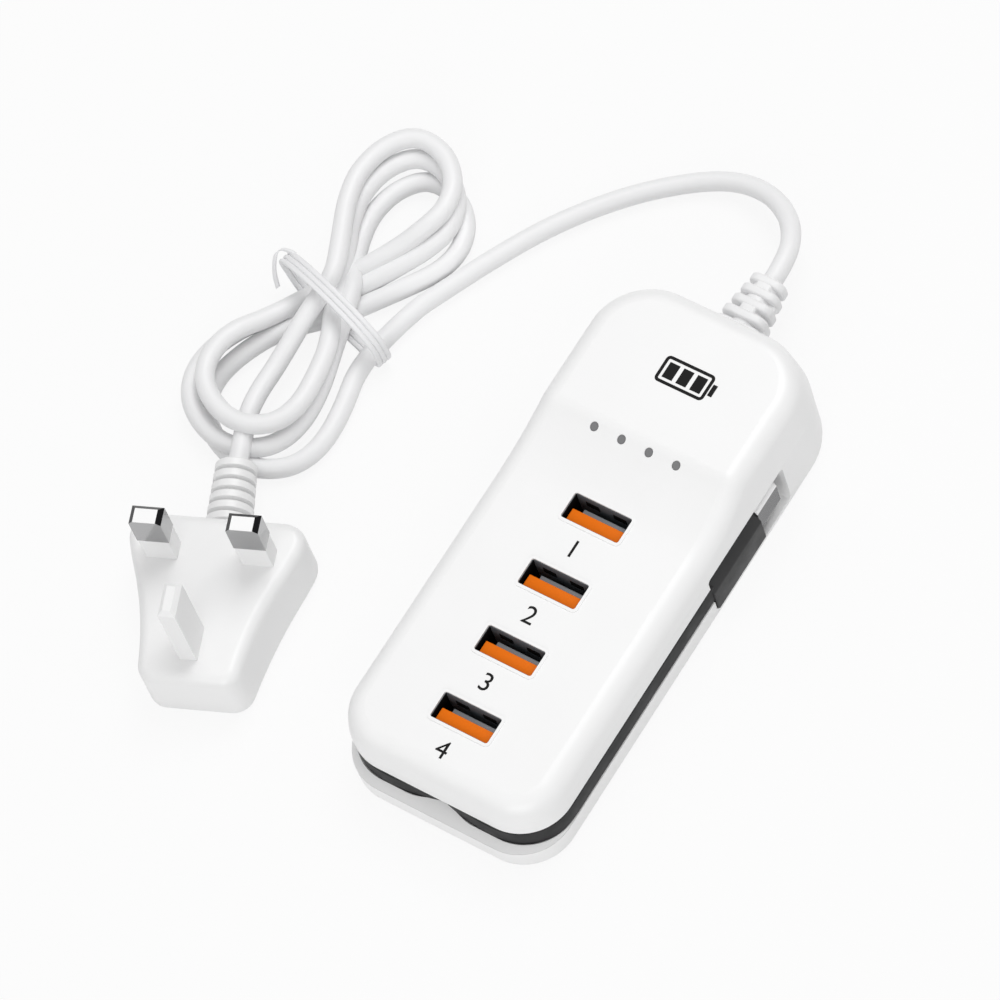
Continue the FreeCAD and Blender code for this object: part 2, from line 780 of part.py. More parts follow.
def transformer():
    """Two-window ferrite core with its wound coil on the middle leg."""
    x = -d.core_offset
    y = back_y - d.core_back_gap
    half = d.core_width / 2
    core_y = (y - d.core_depth / 2, y + d.core_depth / 2)
    core_z = (board_top, board_top + d.core_height)
    block = box("core_block", (x - half, x + half), core_y, core_z)
    windows = []
    for side in (1, -1):
        edges = sorted((mirrored(d.core_leg, side), mirrored(half - d.core_leg, side)), key=lambda s: s.value)
        windows.append(box("core_window", (x + edges[0], x + edges[1]),
                           (core_y[0] - overshoot, core_y[1] + overshoot),
                           (core_z[0] + d.core_leg, core_z[1] - d.core_leg)))
    node("transformer_core", cut("core", block, *windows))
    coil_half = half - d.core_leg - d.seat_gap
    coil_z = (core_z[0] + d.core_leg + d.seat_gap, core_z[1] - d.core_leg - d.seat_gap)
    coil_y = (y - d.coil_depth / 2, y + d.coil_depth / 2)
    winding = box("coil_block", (x - coil_half, x + coil_half), coil_y, coil_z)
    leg = box("coil_bore", (x - d.core_leg - d.seat_gap, x + d.core_leg + d.seat_gap),
              (core_y[0] - d.seat_gap, core_y[1] + d.seat_gap), core_z)
    return node("transformer_coil", cut("coil", winding, leg))


def board_components():
    """Capacitors, rectifier and fuse that stand on the board."""
    row_y = step_y + d.wall + d.component_gap + d.mains_capacitor_radius
    column_x = board_half() - d.component_gap - d.mains_capacitor_radius
    node("mains_capacitor", cylinder("capacitor", d.mains_capacitor_radius, d.mains_capacitor_height,
                                     column_x, row_y, board_top))
    output_y = (port_y(0) + port_y(1)) / 2
    cans = [cylinder("can", d.output_capacitor_radius, d.output_capacitor_height,
                     mirrored(d.output_capacitor_pitch / 2, side), output_y, board_top) for side in (1, -1)]
    node("output_capacitors", group("cans", cans))
    rectifier_y = row_y + d.mains_capacitor_radius + d.component_gap
    half = d.rectifier_width / 2
    node("bridge_rectifier", box("rectifier", (column_x - half, column_x + half),
                                 (rectifier_y, rectifier_y + d.rectifier_depth),
                                 (board_top, board_top + d.rectifier_height)))
    fuse_y = rectifier_y + d.rectifier_depth + d.component_gap + d.fuse_radius
    fuse_x = column_x + d.component_gap - d.fuse_length
    return node("line_fuse", cylinder("fuse_tube", d.fuse_radius, d.fuse_length, fuse_x, fuse_y,
                                      board_top + d.fuse_radius, axis="X"))


def cord_relief():
    """Flexible gland: flange inside the end wall, neck through it and slotted rings outside."""
    flange_y = back_y - d.wall - d.flange_thickness
    pieces = [cylinder("relief_core", d.relief_core / 2, d.relief_length, y=back_y, z=d.seam_height,
                       axis="Y"),
              cylinder("relief_neck", d.neck_diameter / 2, d.wall + d.flange_thickness, y=flange_y,
                       z=d.seam_height, axis="Y"),
              relief_plate("relief_flange", flange_y, d.flange_thickness, d.flange_inset)]
    pitch = (d.relief_length - d.ring_thickness) / (RINGS - 1)
    for index in range(RINGS):
        pieces.append(relief_plate(f"relief_ring_{index + 1}", back_y + pitch * index, d.ring_thickness,
                                   d.ring_taper * index))
    for index in range(RINGS - 1):
        gap = (back_y + pitch * index, back_y + pitch * (index + 1) + d.ring_thickness)
        shrink = d.ring_taper * (index + 1)
        half = d.bridge_width / 2
        if index % 2 == 0:
            wide, tall = half, d.ring_height / 2 - shrink
        else:
            wide, tall = d.ring_width / 2 - shrink, half
        pieces.append(box("relief_bridge", (-wide, wide), gap, (d.seam_height - tall, d.seam_height + tall)))
    return node("cord_relief", fuse("relief", pieces))


def relief_plate(name, y, thickness, shrink):
    """One rounded plate of the gland, across the cord."""
    body = new_body(name)
    sketch = new_sketch(body, f"{name}_outline", "XZ_Plane", -(y + thickness))
    half = d.ring_width / 2 - shrink
    reach = d.ring_height / 2 - shrink
    draw_rounded(sketch, (-half, half), (d.seam_height - reach, d.seam_height + reach),
                 d.ring_corner, d.ring_corner)
    pad(body, sketch, thickness)
    return body


def mains_wires():
    """The cord's two cores, from the gland's flange onto the board."""
    start = board_back() - d.wire_overlap
    length = d.wire_overlap + d.board_margin
    wires = [cylinder("wire", d.wire_radius, length, mirrored(d.wire_pitch / 2, side), start,
                      board_top + d.wire_radius, axis="Y") for side in (1, -1)]
    return node("mains_wires", group("wires", wires))


def route_wire(points):
    """Straight runs joined by tangent arcs, each as large as its two runs allow."""
    edges = []
    radii = []
    start = points[0]
    for before, corner, after in zip(points, points[1:], points[2:]):
        back = before - corner
        ahead = after - corner
        turn = math.pi - back.getAngle(ahead)
        reach = 0.45 * min(back.Length, ahead.Length)
        radius = reach / math.tan(turn / 2)
        radii.append(radius)
        entry = corner + back.normalize() * reach
        leave = corner + ahead.normalize() * reach
        inward = (back + ahead).normalize()
        centre = corner + inward * math.hypot(radius, reach)
        edges.append(Part.LineSegment(start, entry).toShape())
        edges.append(Part.Arc(entry, centre - inward * radius, leave).toShape())
        start = leave
    edges.append(Part.LineSegment(start, points[-1]).toShape())
    return Part.Wire(edges), radii


def swept(label, wire, section, area):
    """A solid swept along a wire, its volume compared with its section times its length."""
    shape = wire.makePipeShell([section], True, False)
    expected = area * wire.Length
    if abs(shape.Volume - expected) > 0.02 * expected:
        raise RuntimeError(f"{label}: swept volume {shape.Volume:.1f}, expected {expected:.1f}")
    item = document.addObject("Part::Feature", label)
    item.Shape = shape
    return node(label, item)


def round_tube(label, points, diameter):
    """A round cord along a route of points."""
    wire, radii = route_wire(points)
    print(label, "length", round(wire.Length, 1), "radii", [round(r, 1) for r in radii])
    circle = Part.Circle(points[0], points[1] - points[0], diameter / 2)
    return swept(label, wire, Part.Wire(circle.toShape()), math.pi * diameter ** 2 / 4)


def mains_cord():
    """Cord from the gland to the tied bundle."""
    exit_point = (0.0, (back_y + d.relief_length).value, d.seam_height.value)
    points = [FreeCAD.Vector(*p) for p in [exit_point] + CORD_ROUTE]
    return round_tube("mains_cord", points, d.cord_diameter.value)


def plug_axis():
    """Direction in which the cord leaves the plug."""
    yaw = math.radians(d.plug_yaw.value)
    return FreeCAD.Vector(-math.sin(yaw), math.cos(yaw), 0)


def boot_end():
    """Middle of the end face of the plug's ribbed boot."""
    place = FreeCAD.Vector(d.plug_x.value, d.plug_y.value, d.boot_height.value)
    return place + plug_axis() * (d.plug_back + d.boot_length).value


def hank_entry():
    """Point on the bundle's lower lobe where the cord leaves for the plug."""
    start = boot_end()
    centre = FreeCAD.Vector(*HANK_FOOT, start.z)
    along = plug_axis()
    offset = start - centre
    mid = offset.dot(along)
    depth = math.sqrt(mid ** 2 - offset.Length ** 2 + HANK_FOOT_RADIUS ** 2)
    side = math.hypot(d.cord_diameter.value, depth) - depth
    return start + along * (-mid - depth - side)


def plug_cord():
    """Short stretch of cord between the bundle and the plug."""
    start = hank_entry()
    end = boot_end()
    bar = Part.makeCylinder(d.cord_diameter.value / 2, (end - start).Length, start, end - start)
    item = document.addObject("Part::Feature", "plug_cord")
    item.Shape = bar
    return node("plug_cord", item)


def cord_hank():
    """Outer form of the tied bundle: two lobes and a wide waist, with a stub at each cord end."""
    head = FreeCAD.Vector(*HANK_HEAD, 0)
    foot = FreeCAD.Vector(*HANK_FOOT, 0)
    distance = (foot - head).Length
    axis = (foot - head) / distance
    to_head = HANK_HEAD_RADIUS + HANK_WAIST_RADIUS
    to_foot = HANK_FOOT_RADIUS + HANK_WAIST_RADIUS
    along = (to_head ** 2 - to_foot ** 2 + distance ** 2) / (2 * distance)
    aside = math.sqrt(to_head ** 2 - along ** 2)
    right = FreeCAD.Vector(-axis.y, axis.x, 0)
    outline = []
    touches = []
    for side in (1, -1):
        centre = head + axis * along + right * (aside * side)
        near_head = head + (centre - head).normalize() * HANK_HEAD_RADIUS
        near_foot = foot + (centre - foot).normalize() * HANK_FOOT_RADIUS
        waist = centre - right * (HANK_WAIST_RADIUS * side)
        outline.append(Part.Arc(near_head, waist, near_foot).toShape())
        touches.append((near_head, near_foot))
    outline.append(Part.Arc(touches[0][0], head - axis * HANK_HEAD_RADIUS, touches[1][0]).toShape())
    outline.append(Part.Arc(touches[0][1], foot + axis * HANK_FOOT_RADIUS, touches[1][1]).toShape())
    face = Part.Face(Part.Wire(Part.__sortEdges__(outline)))
    solid = face.extrude(FreeCAD.Vector(0, 0, d.hank_height.value))
    radius = d.cord_diameter.value / 2
    last, end = [FreeCAD.Vector(*p) for p in CORD_ROUTE[-2:]]
    solid = solid.fuse(Part.makeCylinder(radius, HANK_STUB, end, end - last))
    solid = solid.fuse(Part.makeCylinder(radius, HANK_STUB, hank_entry(), plug_axis()))
    room = d.tie_thickness.value + 2 * d.tie_gap.value
    slot = Part.makeBox(d.tie_length.value * 2, d.tie_width.value + 2 * d.tie_gap.value, room)
    slot.translate(FreeCAD.Vector(-d.tie_length.value, -d.tie_width.value / 2 - d.tie_gap.value, 0))
    slot.Placement = tie_placement().multiply(slot.Placement)
    item = document.addObject("Part::Feature", "cord_hank")
    item.Shape = solid.cut(slot).removeSplitter()
    return node("cord_hank", item)


def tie_placement():
    """Placement of the twist tie across the bundle."""
    turn = FreeCAD.Rotation(FreeCAD.Vector(0, 0, 1), TIE_YAW)
    return FreeCAD.Placement(FreeCAD.Vector(*TIE_CENTRE, 0), turn)


def twist_tie():
    """Ribbon tie round the bundle, with its two ends twisted together at one side."""
    half = d.tie_length / 2
    band = (-d.tie_width / 2, d.tie_width / 2)
    low = d.tie_gap
    high = d.hank_height + d.tie_gap + d.tie_thickness
    outer = box("tie_outer", (-half, half), band, (low, high))
    inner = box("tie_inner", (-half + d.tie_thickness, half - d.tie_thickness),
                (band[0] - overshoot, band[1] + overshoot), (low + d.tie_thickness, high - d.tie_thickness))
    tail = cylinder("tie_tail", d.tie_tail_radius, d.tie_tail, -half - d.tie_tail, ZERO,
                    high - d.tie_tail_radius, axis="X")
    item = fuse("tie", [cut("tie_ring", outer, inner), tail])
    item.Placement = tie_placement()
    return node("twist_tie", item)


def lead_route(side):
    """Middle line of one charging lead: out through the front, round the corner, along the flank."""
    flank = (inner_half + d.seat_gap + d.lead_thickness / 2).value
    front = (cover_front_y + d.lead_reach).value
    start_x = d.lead_spread.value / 2
    bend = d.lead_bend.value
    corner = d.lead_corner.value
    begin = (board_front() - d.seat_gap).value
    end = grip_y.value
    height = lead_middle.value
    diagonal = math.sqrt(0.5)

    def spot(x, y):
        return FreeCAD.Vector(side * x, y, height)

    turn_y = front + bend
    round_y = front + corner
    round_x = flank - corner
    edges = [
        Part.LineSegment(spot(start_x, begin), spot(start_x, turn_y)),
        Part.Arc(spot(start_x, turn_y), spot(start_x + bend * (1 - diagonal), front + bend * (1 - diagonal)),
                 spot(start_x + bend, front)),
        Part.LineSegment(spot(start_x + bend, front), spot(round_x, front)),
        Part.Arc(spot(round_x, front), spot(round_x + corner * diagonal, front + corner * (1 - diagonal)),
                 spot(flank, round_y)),
        Part.LineSegment(spot(flank, round_y), spot(flank, end)),
    ]
    return Part.Wire([edge.toShape() for edge in edges]), spot(start_x, begin)


def lead_cable(name, side):
    """Flat charging lead, on edge in the groove."""
    wire, start = lead_route(side)
    wide = d.lead_thickness.value
    tall = d.lead_height.value
    edge = d.lead_edge.value
    low_corner = start - FreeCAD.Vector(wide / 2, 0, tall / 2)
    plate = Part.makePlane(wide, tall, low_corner, FreeCAD.Vector(0, -1, 0), FreeCAD.Vector(1, 0, 0))
    slab = plate.extrude(FreeCAD.Vector(0, 1, 0))
    upright = [e for e in slab.Edges if e.BoundBox.YLength > 0.5]
    rounded = slab.makeFillet(edge, upright)
    section = next(face for face in rounded.Faces
                   if abs(face.CenterOfMass.y - start.y) < 1e-6 and face.BoundBox.YLength < 1e-6)
    return swept(name, wire, section.OuterWire, section.Area)


def lead_grip(name, side):
    """Moulded grip of one lead, with bevelled edges, in its pocket."""
    body = new_body(name)
    x = span(grip_inner, grip_outer, side)
    sketch = new_sketch(body, f"{name}_outline", "XZ_Plane", -grip_end_y)
    low = d.grip_foot
    draw_lines(sketch, [(x[0], low), (x[1], low), (x[1], grip_high), (x[0], grip_high)])
    pad(body, sketch, d.grip_length)
    outer = mirrored(grip_outer, side).value
    long_edge = d.grip_length.value / 2
    round_edges(body, f"{name}_bevel", d.grip_chamfer,
                lambda edge: abs(edge.CenterOfMass.x - outer) < 1e-5 and edge.BoundBox.YLength > long_edge,
                "PartDesign::Chamfer")
    return node(name, body)


def lead_tip(name, side):
    """Metal shell of one lead's plug and the moulded insert inside it."""
    middle = mirrored((grip_inner + grip_outer) / 2, side)
    half = d.plug_tip_thickness / 2
    reach = d.plug_tip_width / 2
    corner = d.plug_tip_thickness * 0.45
    body = new_body(f"{name}_shell")
    outline = new_sketch(body, f"{name}_outline", "XZ_Plane", -(grip_end_y + d.plug_tip_length))
    draw_rounded(outline, (middle - half, middle + half), (lead_middle - reach, lead_middle + reach),
                 corner, corner)
    pad(body, outline, d.plug_tip_length)
    bore = new_sketch(body, f"{name}_bore", "XZ_Plane", -(grip_end_y + d.plug_tip_length))
    thin = half - d.plug_tip_wall
    short = reach - d.plug_tip_wall
    inner_corner = corner - d.plug_tip_wall
    draw_rounded(bore, (middle - thin, middle + thin), (lead_middle - short, lead_middle + short),
                 inner_corner, inner_corner)
    pocket(body, bore, d.plug_tip_length)
    node(f"{name}_shell", body)
    insert = new_body(f"{name}_insert")
    plan = new_sketch(insert, f"{name}_insert_outline", "XZ_Plane",
                      -(grip_end_y + d.plug_tip_length - d.plug_tip_insert))
    draw_rounded(plan, (middle - thin, middle + thin), (lead_middle - short, lead_middle + short),
                 inner_corner, inner_corner)
    pad(insert, plan, d.plug_tip_length - d.plug_tip_insert)
    return node(f"{name}_insert", insert)


def at_plug(body):
    """Ties a body that is drawn in the plug's own frame to where the plug lies."""
    move(body, d.plug_x, d.plug_y, ZERO)
    body.setExpression("Placement.Rotation.Angle", d.plug_yaw.text)
    return body


def plug_body():
    """Moulded plug: tapering body with soft edges and a ribbed boot for the cord."""
    body = new_body("plug")
    outline = new_sketch(body, "plug_outline")
    narrow = (-d.plug_narrow / 2, d.plug_narrow / 2)
    wide = (-d.plug_wide / 2, d.plug_wide / 2)
    draw_rounded(outline, narrow, (-d.plug_front, d.plug_back), d.plug_nose_corner, d.plug_back_corner, wide)
    pad(body, outline, d.plug_thickness)
    round_edges(body, "plug_face_edge", d.plug_edge, lies_at(d.plug_thickness))
    round_edges(body, "plug_back_edge", d.plug_edge, lies_at(ZERO))
    profile = new_sketch(body, "boot_profile", "YZ_Plane")
    draw_lines(profile, boot_profile())
    boot = body.newObject("PartDesign::Revolution", "boot")
    boot.Profile = profile
    boot.ReferenceAxis = (profile, ["Edge1"])
    boot.Angle = 360
    return node("plug_body", at_plug(body))


def boot_profile():
    """Half section of the ribbed boot: its axis first, then ribs and waists from the cord end."""
    end = d.plug_back + d.boot_length
    root = d.plug_back - d.plug_edge
    pitch = (d.boot_length - d.boot_rib) / (BOOT_RIBS - 1)
    points = [(root, d.boot_height), (end, d.boot_height)]
    for index in range(BOOT_RIBS):
        outer = end - pitch * index
        inner = outer - d.boot_rib
        points += [(outer, d.boot_height + d.boot_radius), (inner, d.boot_height + d.boot_radius)]
        if index < BOOT_RIBS - 1:
            points += [(inner, d.boot_height + d.boot_core), (outer - pitch, d.boot_height + d.boot_core)]
    return points + [(root, d.boot_height + d.boot_radius)]


def power_pin(name, side):
    """Flat power pin with a bared tip, and the sleeve flush round its root."""
    middle = mirrored(d.pin_spacing / 2, side)
    half_x = d.pin_width / 2
    half_y = d.pin_thickness / 2
    root = d.plug_thickness
    sleeve_top = root + d.sleeve_length
    slim_x = half_x - d.sleeve_wall
    slim_y = half_y - d.sleeve_wall
    slim_corner = d.pin_corner - d.sleeve_wall
    pin = new_body(name)
    shank = new_sketch(pin, f"{name}_shank", offset=root)
    draw_rounded(shank, (middle - slim_x, middle + slim_x), (-slim_y, slim_y), slim_corner, slim_corner)
    pad(pin, shank, d.sleeve_length)
    tip = new_sketch(pin, f"{name}_tip", offset=sleeve_top)
    low, high = middle - half_x, middle + half_x
    draw_lines(tip, [(low, -half_y), (high, -half_y), (high, half_y), (low, half_y)])
    pad(pin, tip, d.pin_length - d.sleeve_length)
    round_edges(pin, f"{name}_end", d.pin_bevel, lies_at(root + d.pin_length), "PartDesign::Chamfer")
    node(name, at_plug(pin))
    sleeve = new_body(f"{name}_sleeve")
    ring = new_sketch(sleeve, f"{name}_ring", offset=root)
    draw_rounded(ring, (middle - half_x, middle + half_x), (-half_y, half_y), d.pin_corner, d.pin_corner)
    pad(sleeve, ring, d.sleeve_length)
    bore = new_sketch(sleeve, f"{name}_bore", offset=root)
    draw_rounded(bore, (middle - slim_x, middle + slim_x), (-slim_y, slim_y), slim_corner, slim_corner)
    pocket(sleeve, bore, d.sleeve_length)
    return node(f"{name}_sleeve", at_plug(sleeve))


def earth_pin():
    """Moulded shutter-opening pin on the plug's centre line."""
    pin = new_body("earth_pin")
    outline = new_sketch(pin, "earth_outline", offset=d.plug_thickness)
    half_x = d.earth_width / 2
    half_y = d.earth_depth / 2
    low, high = -d.earth_spacing - half_y, -d.earth_spacing + half_y
    draw_lines(outline, [(-half_x, low), (half_x, low), (half_x, high), (-half_x, high)])
    pad(pin, outline, d.earth_length)
    top = d.plug_thickness + d.earth_length
    round_edges(pin, "earth_end", d.pin_bevel, lies_at(top), "PartDesign::Chamfer")
    return node("earth_pin", at_plug(pin))


top_cover()
base_case()
circuit_board()
for port in range(PORTS):
    usb_shell(port)
    usb_tongue(port)
    usb_contacts(port)
indicator_lights()
transformer()
board_components()
cord_relief()
mains_wires()
mains_cord()
cord_hank()
plug_cord()
twist_tie()
for lead, flank_side in (("right_lead", 1), ("left_lead", -1)):
    lead_cable(f"{lead}_cable", flank_side)
    lead_grip(f"{lead}_grip", flank_side)
    lead_tip(f"{lead}_tip", flank_side)
plug_body()
power_pin("live_pin", -1)
power_pin("neutral_pin", 1)
earth_pin()
document.recompute()

# Every object is sound before anything is written
for item in document.Objects:
    if {"Invalid", "Error"} & set(item.State):
        raise RuntimeError(f"{item.Name} failed: {item.State}")
for item in nodes:
    if item.Shape.isNull() or not item.Shape.isValid() or not item.Shape.Solids:
        raise RuntimeError(f"{item.Label} has no sound shape")

os.makedirs("parts", exist_ok=True)
for item in nodes:
    item.Shape.exportStep(f"parts/{item.Label}.step")
print(len(nodes), "sub-parts written")
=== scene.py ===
# %% [markdown]
# # A USB charging strip with its mains lead
#
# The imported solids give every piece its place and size. This lesson dresses them: it sets up a
# studio, lays the mains cord, models the soft moulded shells that show in the picture and gives
# each surface a finish of its own. Blender counts in metres, so millimetres are multiplied by MM.

# %% Load the frame
import json
import math

import bmesh
import bpy
from mathutils import Matrix, Vector


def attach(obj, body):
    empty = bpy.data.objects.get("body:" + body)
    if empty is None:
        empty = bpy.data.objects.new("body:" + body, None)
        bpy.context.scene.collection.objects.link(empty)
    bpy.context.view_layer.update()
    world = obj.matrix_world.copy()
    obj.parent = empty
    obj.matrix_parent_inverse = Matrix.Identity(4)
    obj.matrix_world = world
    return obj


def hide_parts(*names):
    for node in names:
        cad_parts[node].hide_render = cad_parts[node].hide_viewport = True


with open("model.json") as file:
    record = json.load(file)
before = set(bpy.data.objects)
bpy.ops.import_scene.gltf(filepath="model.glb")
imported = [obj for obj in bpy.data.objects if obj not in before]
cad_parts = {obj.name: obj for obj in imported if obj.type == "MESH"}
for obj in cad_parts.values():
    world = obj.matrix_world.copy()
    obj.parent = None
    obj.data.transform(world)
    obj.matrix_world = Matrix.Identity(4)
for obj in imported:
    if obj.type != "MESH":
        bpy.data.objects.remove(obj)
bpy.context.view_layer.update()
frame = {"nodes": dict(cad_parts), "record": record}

MM = 0.001
nodes = frame["nodes"]
print("solids loaded:", len(nodes))

# %% [markdown]
# ## Camera
#
# The picture was taken from far away with a long lens, from above and to the right of the strip,
# and its frame was turned a little. A long lens keeps the strip's two long edges almost parallel.
# A camera could be aimed by a constraint, but a roll is easier to give directly: it is turned about the
# vertical, tipped down and then rolled, in that order, and backed off along its own axis until the
# frame is as wide as the picture shows.

# %% Camera
VIEW_AZIMUTH = math.radians(52.08)
VIEW_ELEVATION = math.radians(60.99)
VIEW_ROLL = math.radians(-22.36)
VIEW_TARGET = Vector((-31.35, 9.88, 0.0)) * MM
VIEW_WIDTH = 222.6 * MM
LENS = 250.0
SENSOR = 36.0

camera_data = bpy.data.cameras.new("camera")
camera_data.lens = LENS
camera_data.sensor_width = SENSOR
camera = bpy.data.objects.new("camera", camera_data)
bpy.context.scene.collection.objects.link(camera)
turn = (Matrix.Rotation(VIEW_AZIMUTH, 4, "Z")
        @ Matrix.Rotation(math.pi / 2 - VIEW_ELEVATION, 4, "X")
        @ Matrix.Rotation(VIEW_ROLL, 4, "Z"))
distance = VIEW_WIDTH * LENS / SENSOR
camera.matrix_world = Matrix.Translation(VIEW_TARGET) @ turn @ Matrix.Translation((0, 0, distance))
bpy.context.scene.camera = camera
bpy.context.scene.view_settings.view_transform = "Standard"
print("camera backed off", round(distance, 3), "m")

# %% [markdown]
# ## Floor
#
# The strip lies on white paper, which has to look white and still show a shadow. Stronger lamps
# would whiten the paper, but they would burn out the white plastic too. So the floor is a wide pale
# sheet that is lifted towards white by a share of its own glow, to the camera and in reflections,
# and the rest of it takes the object's shadow.

# %% Floor
FLOOR_SIZE = 6.0
FLOOR_DROP = 0.2 * MM
FLOOR_GLOW = 0.88
PAPER_COLOUR = (0.78, 0.78, 0.78, 1)

bpy.ops.object.select_all(action="DESELECT")
bpy.ops.mesh.primitive_plane_add(size=FLOOR_SIZE, location=(0, 0, -FLOOR_DROP))
floor = bpy.context.object
floor.name = "studio_floor"
paper = bpy.data.materials.new("studio_paper")
paper.use_nodes = True
tree = paper.node_tree
tree.nodes.clear()
sheet = tree.nodes.new("ShaderNodeBsdfDiffuse")
sheet.inputs["Color"].default_value = PAPER_COLOUR
glow = tree.nodes.new("ShaderNodeEmission")
light_path = tree.nodes.new("ShaderNodeLightPath")
mirrored = tree.nodes.new("ShaderNodeMath")
mirrored.operation = "MAXIMUM"
tree.links.new(light_path.outputs["Is Glossy Ray"], mirrored.inputs[0])
tree.links.new(light_path.outputs["Is Transmission Ray"], mirrored.inputs[1])
seen = tree.nodes.new("ShaderNodeMath")
seen.operation = "MAXIMUM"
tree.links.new(light_path.outputs["Is Camera Ray"], seen.inputs[0])
tree.links.new(mirrored.outputs[0], seen.inputs[1])
share = tree.nodes.new("ShaderNodeMath")
share.operation = "MULTIPLY"
share.inputs[1].default_value = FLOOR_GLOW
tree.links.new(seen.outputs[0], share.inputs[0])
blend = tree.nodes.new("ShaderNodeMixShader")
tree.links.new(share.outputs[0], blend.inputs["Fac"])
tree.links.new(sheet.outputs[0], blend.inputs[1])
tree.links.new(glow.outputs[0], blend.inputs[2])
output = tree.nodes.new("ShaderNodeOutputMaterial")
tree.links.new(blend.outputs[0], output.inputs["Surface"])
floor.data.materials.append(paper)
print("floor:", floor.name, "with", len(tree.nodes), "shader nodes")

# %% [markdown]
# ## Sky
#
# In a white studio most light comes from overhead, so tops stay pale and sides turn a little grey.
# A sky of one colour would light the sides as much as the tops. This one is bright at the zenith and
# dim at the horizon, which also gives plated metal something dark to reflect.

# %% Sky
HORIZON = 0.32
ZENITH = 0.72

world = bpy.data.worlds.new("studio")
world.use_nodes = True
sky = world.node_tree
towards = sky.nodes.new("ShaderNodeSeparateXYZ")
sky.links.new(sky.nodes.new("ShaderNodeTexCoord").outputs["Generated"], towards.inputs[0])
brightness = sky.nodes.new("ShaderNodeMapRange")
brightness.inputs["From Min"].default_value = 0.0
brightness.inputs["From Max"].default_value = 1.0
brightness.inputs["To Min"].default_value = HORIZON
brightness.inputs["To Max"].default_value = ZENITH
sky.links.new(towards.outputs["Z"], brightness.inputs["Value"])
sky.nodes["Background"].inputs["Color"].default_value = (1, 1, 1, 1)
sky.links.new(brightness.outputs["Result"], sky.nodes["Background"].inputs["Strength"])
bpy.context.scene.world = world
print("sky from", HORIZON, "to", ZENITH)

# %% [markdown]
# ## Lamps
#
# Two large soft boxes shape the object: a key high above the head's end and a weaker fill in front,
# low and to the right. Small lamps or a sun would draw hard shadows, which the picture doesn't have,
# so both boxes are almost a metre wide.

# %% Lamps
LAMP_AIM = (-0.03, 0.02, 0)
LAMP_SIZE = 0.9


def add_lamp(name, place, power):
    """A square soft box at a place, aimed at the object."""
    lamp = bpy.data.lights.new(name, "AREA")
    lamp.size = LAMP_SIZE
    lamp.energy = power
    item = bpy.data.objects.new(name, lamp)
    bpy.context.scene.collection.objects.link(item)
    item.location = place
    item.rotation_euler = (Vector(LAMP_AIM) - Vector(place)).to_track_quat("-Z", "Y").to_euler()
    return item


key = add_lamp("key_softbox", (-0.05, 0.72, 1.4), 9.4)
fill = add_lamp("fill_softbox", (0.5, -1.0, 0.5), 4.8)
print("lamps:", key.name, fill.name)

# %% [markdown]
# ## Building blocks of a finish
#
# No real surface is one even colour. A painted picture could carry the unevenness, but it would need
# a flat layout of every piece. Noise needs none: it is read at Object coordinates, so it stays in
# place on any shape. These small functions read a noise, spread it between two levels, blend two
# colours by it and raise the surface by it.

# %% Building blocks of a finish
NOISE_RANGE = (0.3, 0.7)
BUMP_STRENGTH = 0.5


def noise(tree, coordinates, scale, detail=3.0):
    """A noise texture at a scale per metre."""
    texture = tree.nodes.new("ShaderNodeTexNoise")
    texture.inputs["Scale"].default_value = scale
    texture.inputs["Detail"].default_value = detail
    tree.links.new(coordinates, texture.inputs["Vector"])
    return texture.outputs["Fac"]


def spread(tree, value, low, high):
    """Spreads a noise value evenly between two levels."""
    level = tree.nodes.new("ShaderNodeMapRange")
    level.inputs["From Min"].default_value = NOISE_RANGE[0]
    level.inputs["From Max"].default_value = NOISE_RANGE[1]
    level.inputs["To Min"].default_value = low
    level.inputs["To Max"].default_value = high
    tree.links.new(value, level.inputs["Value"])
    return level.outputs["Result"]


def tint(tree, value, dark, light):
    """Blends two colours by a value."""
    mix = tree.nodes.new("ShaderNodeMix")
    mix.data_type = "RGBA"
    mix.inputs["A"].default_value = (*dark, 1)
    mix.inputs["B"].default_value = (*light, 1)
    tree.links.new(value, mix.inputs["Factor"])
    return mix.outputs["Result"]


def bump(tree, value, depth, shader):
    """Raises a surface by a value, up to a depth in millimetres."""
    relief = tree.nodes.new("ShaderNodeBump")
    relief.inputs["Strength"].default_value = BUMP_STRENGTH
    relief.inputs["Distance"].default_value = depth * MM
    tree.links.new(value, relief.inputs["Height"])
    tree.links.new(relief.outputs["Normal"], shader.inputs["Normal"])


def new_finish(name):
    """An empty finish: its tree, its shader and its Object coordinates."""
    material = bpy.data.materials.new(name)
    material.use_nodes = True
    tree = material.node_tree
    shader = tree.nodes["Principled BSDF"]
    coordinates = tree.nodes.new("ShaderNodeTexCoord").outputs["Object"]
    return material, tree, shader, coordinates


print("noise is spread from", NOISE_RANGE)

# %% [markdown]
# ## Moulded plastic
#
# The mould leaves a fine grain on plastic and rubber, and the gloss changes a little from place to
# place. The grain could be modelled, but it is far finer than any mesh, so a bump stands for it. A
# broad noise clouds the colour, and a finer one varies the roughness.

# %% Moulded plastic
CLOUD_SCALE = 60.0
GLOSS_SCALE = 240.0
GLOSS_SPREAD = (0.9, 1.12)
GRAIN_DETAIL = 5.0


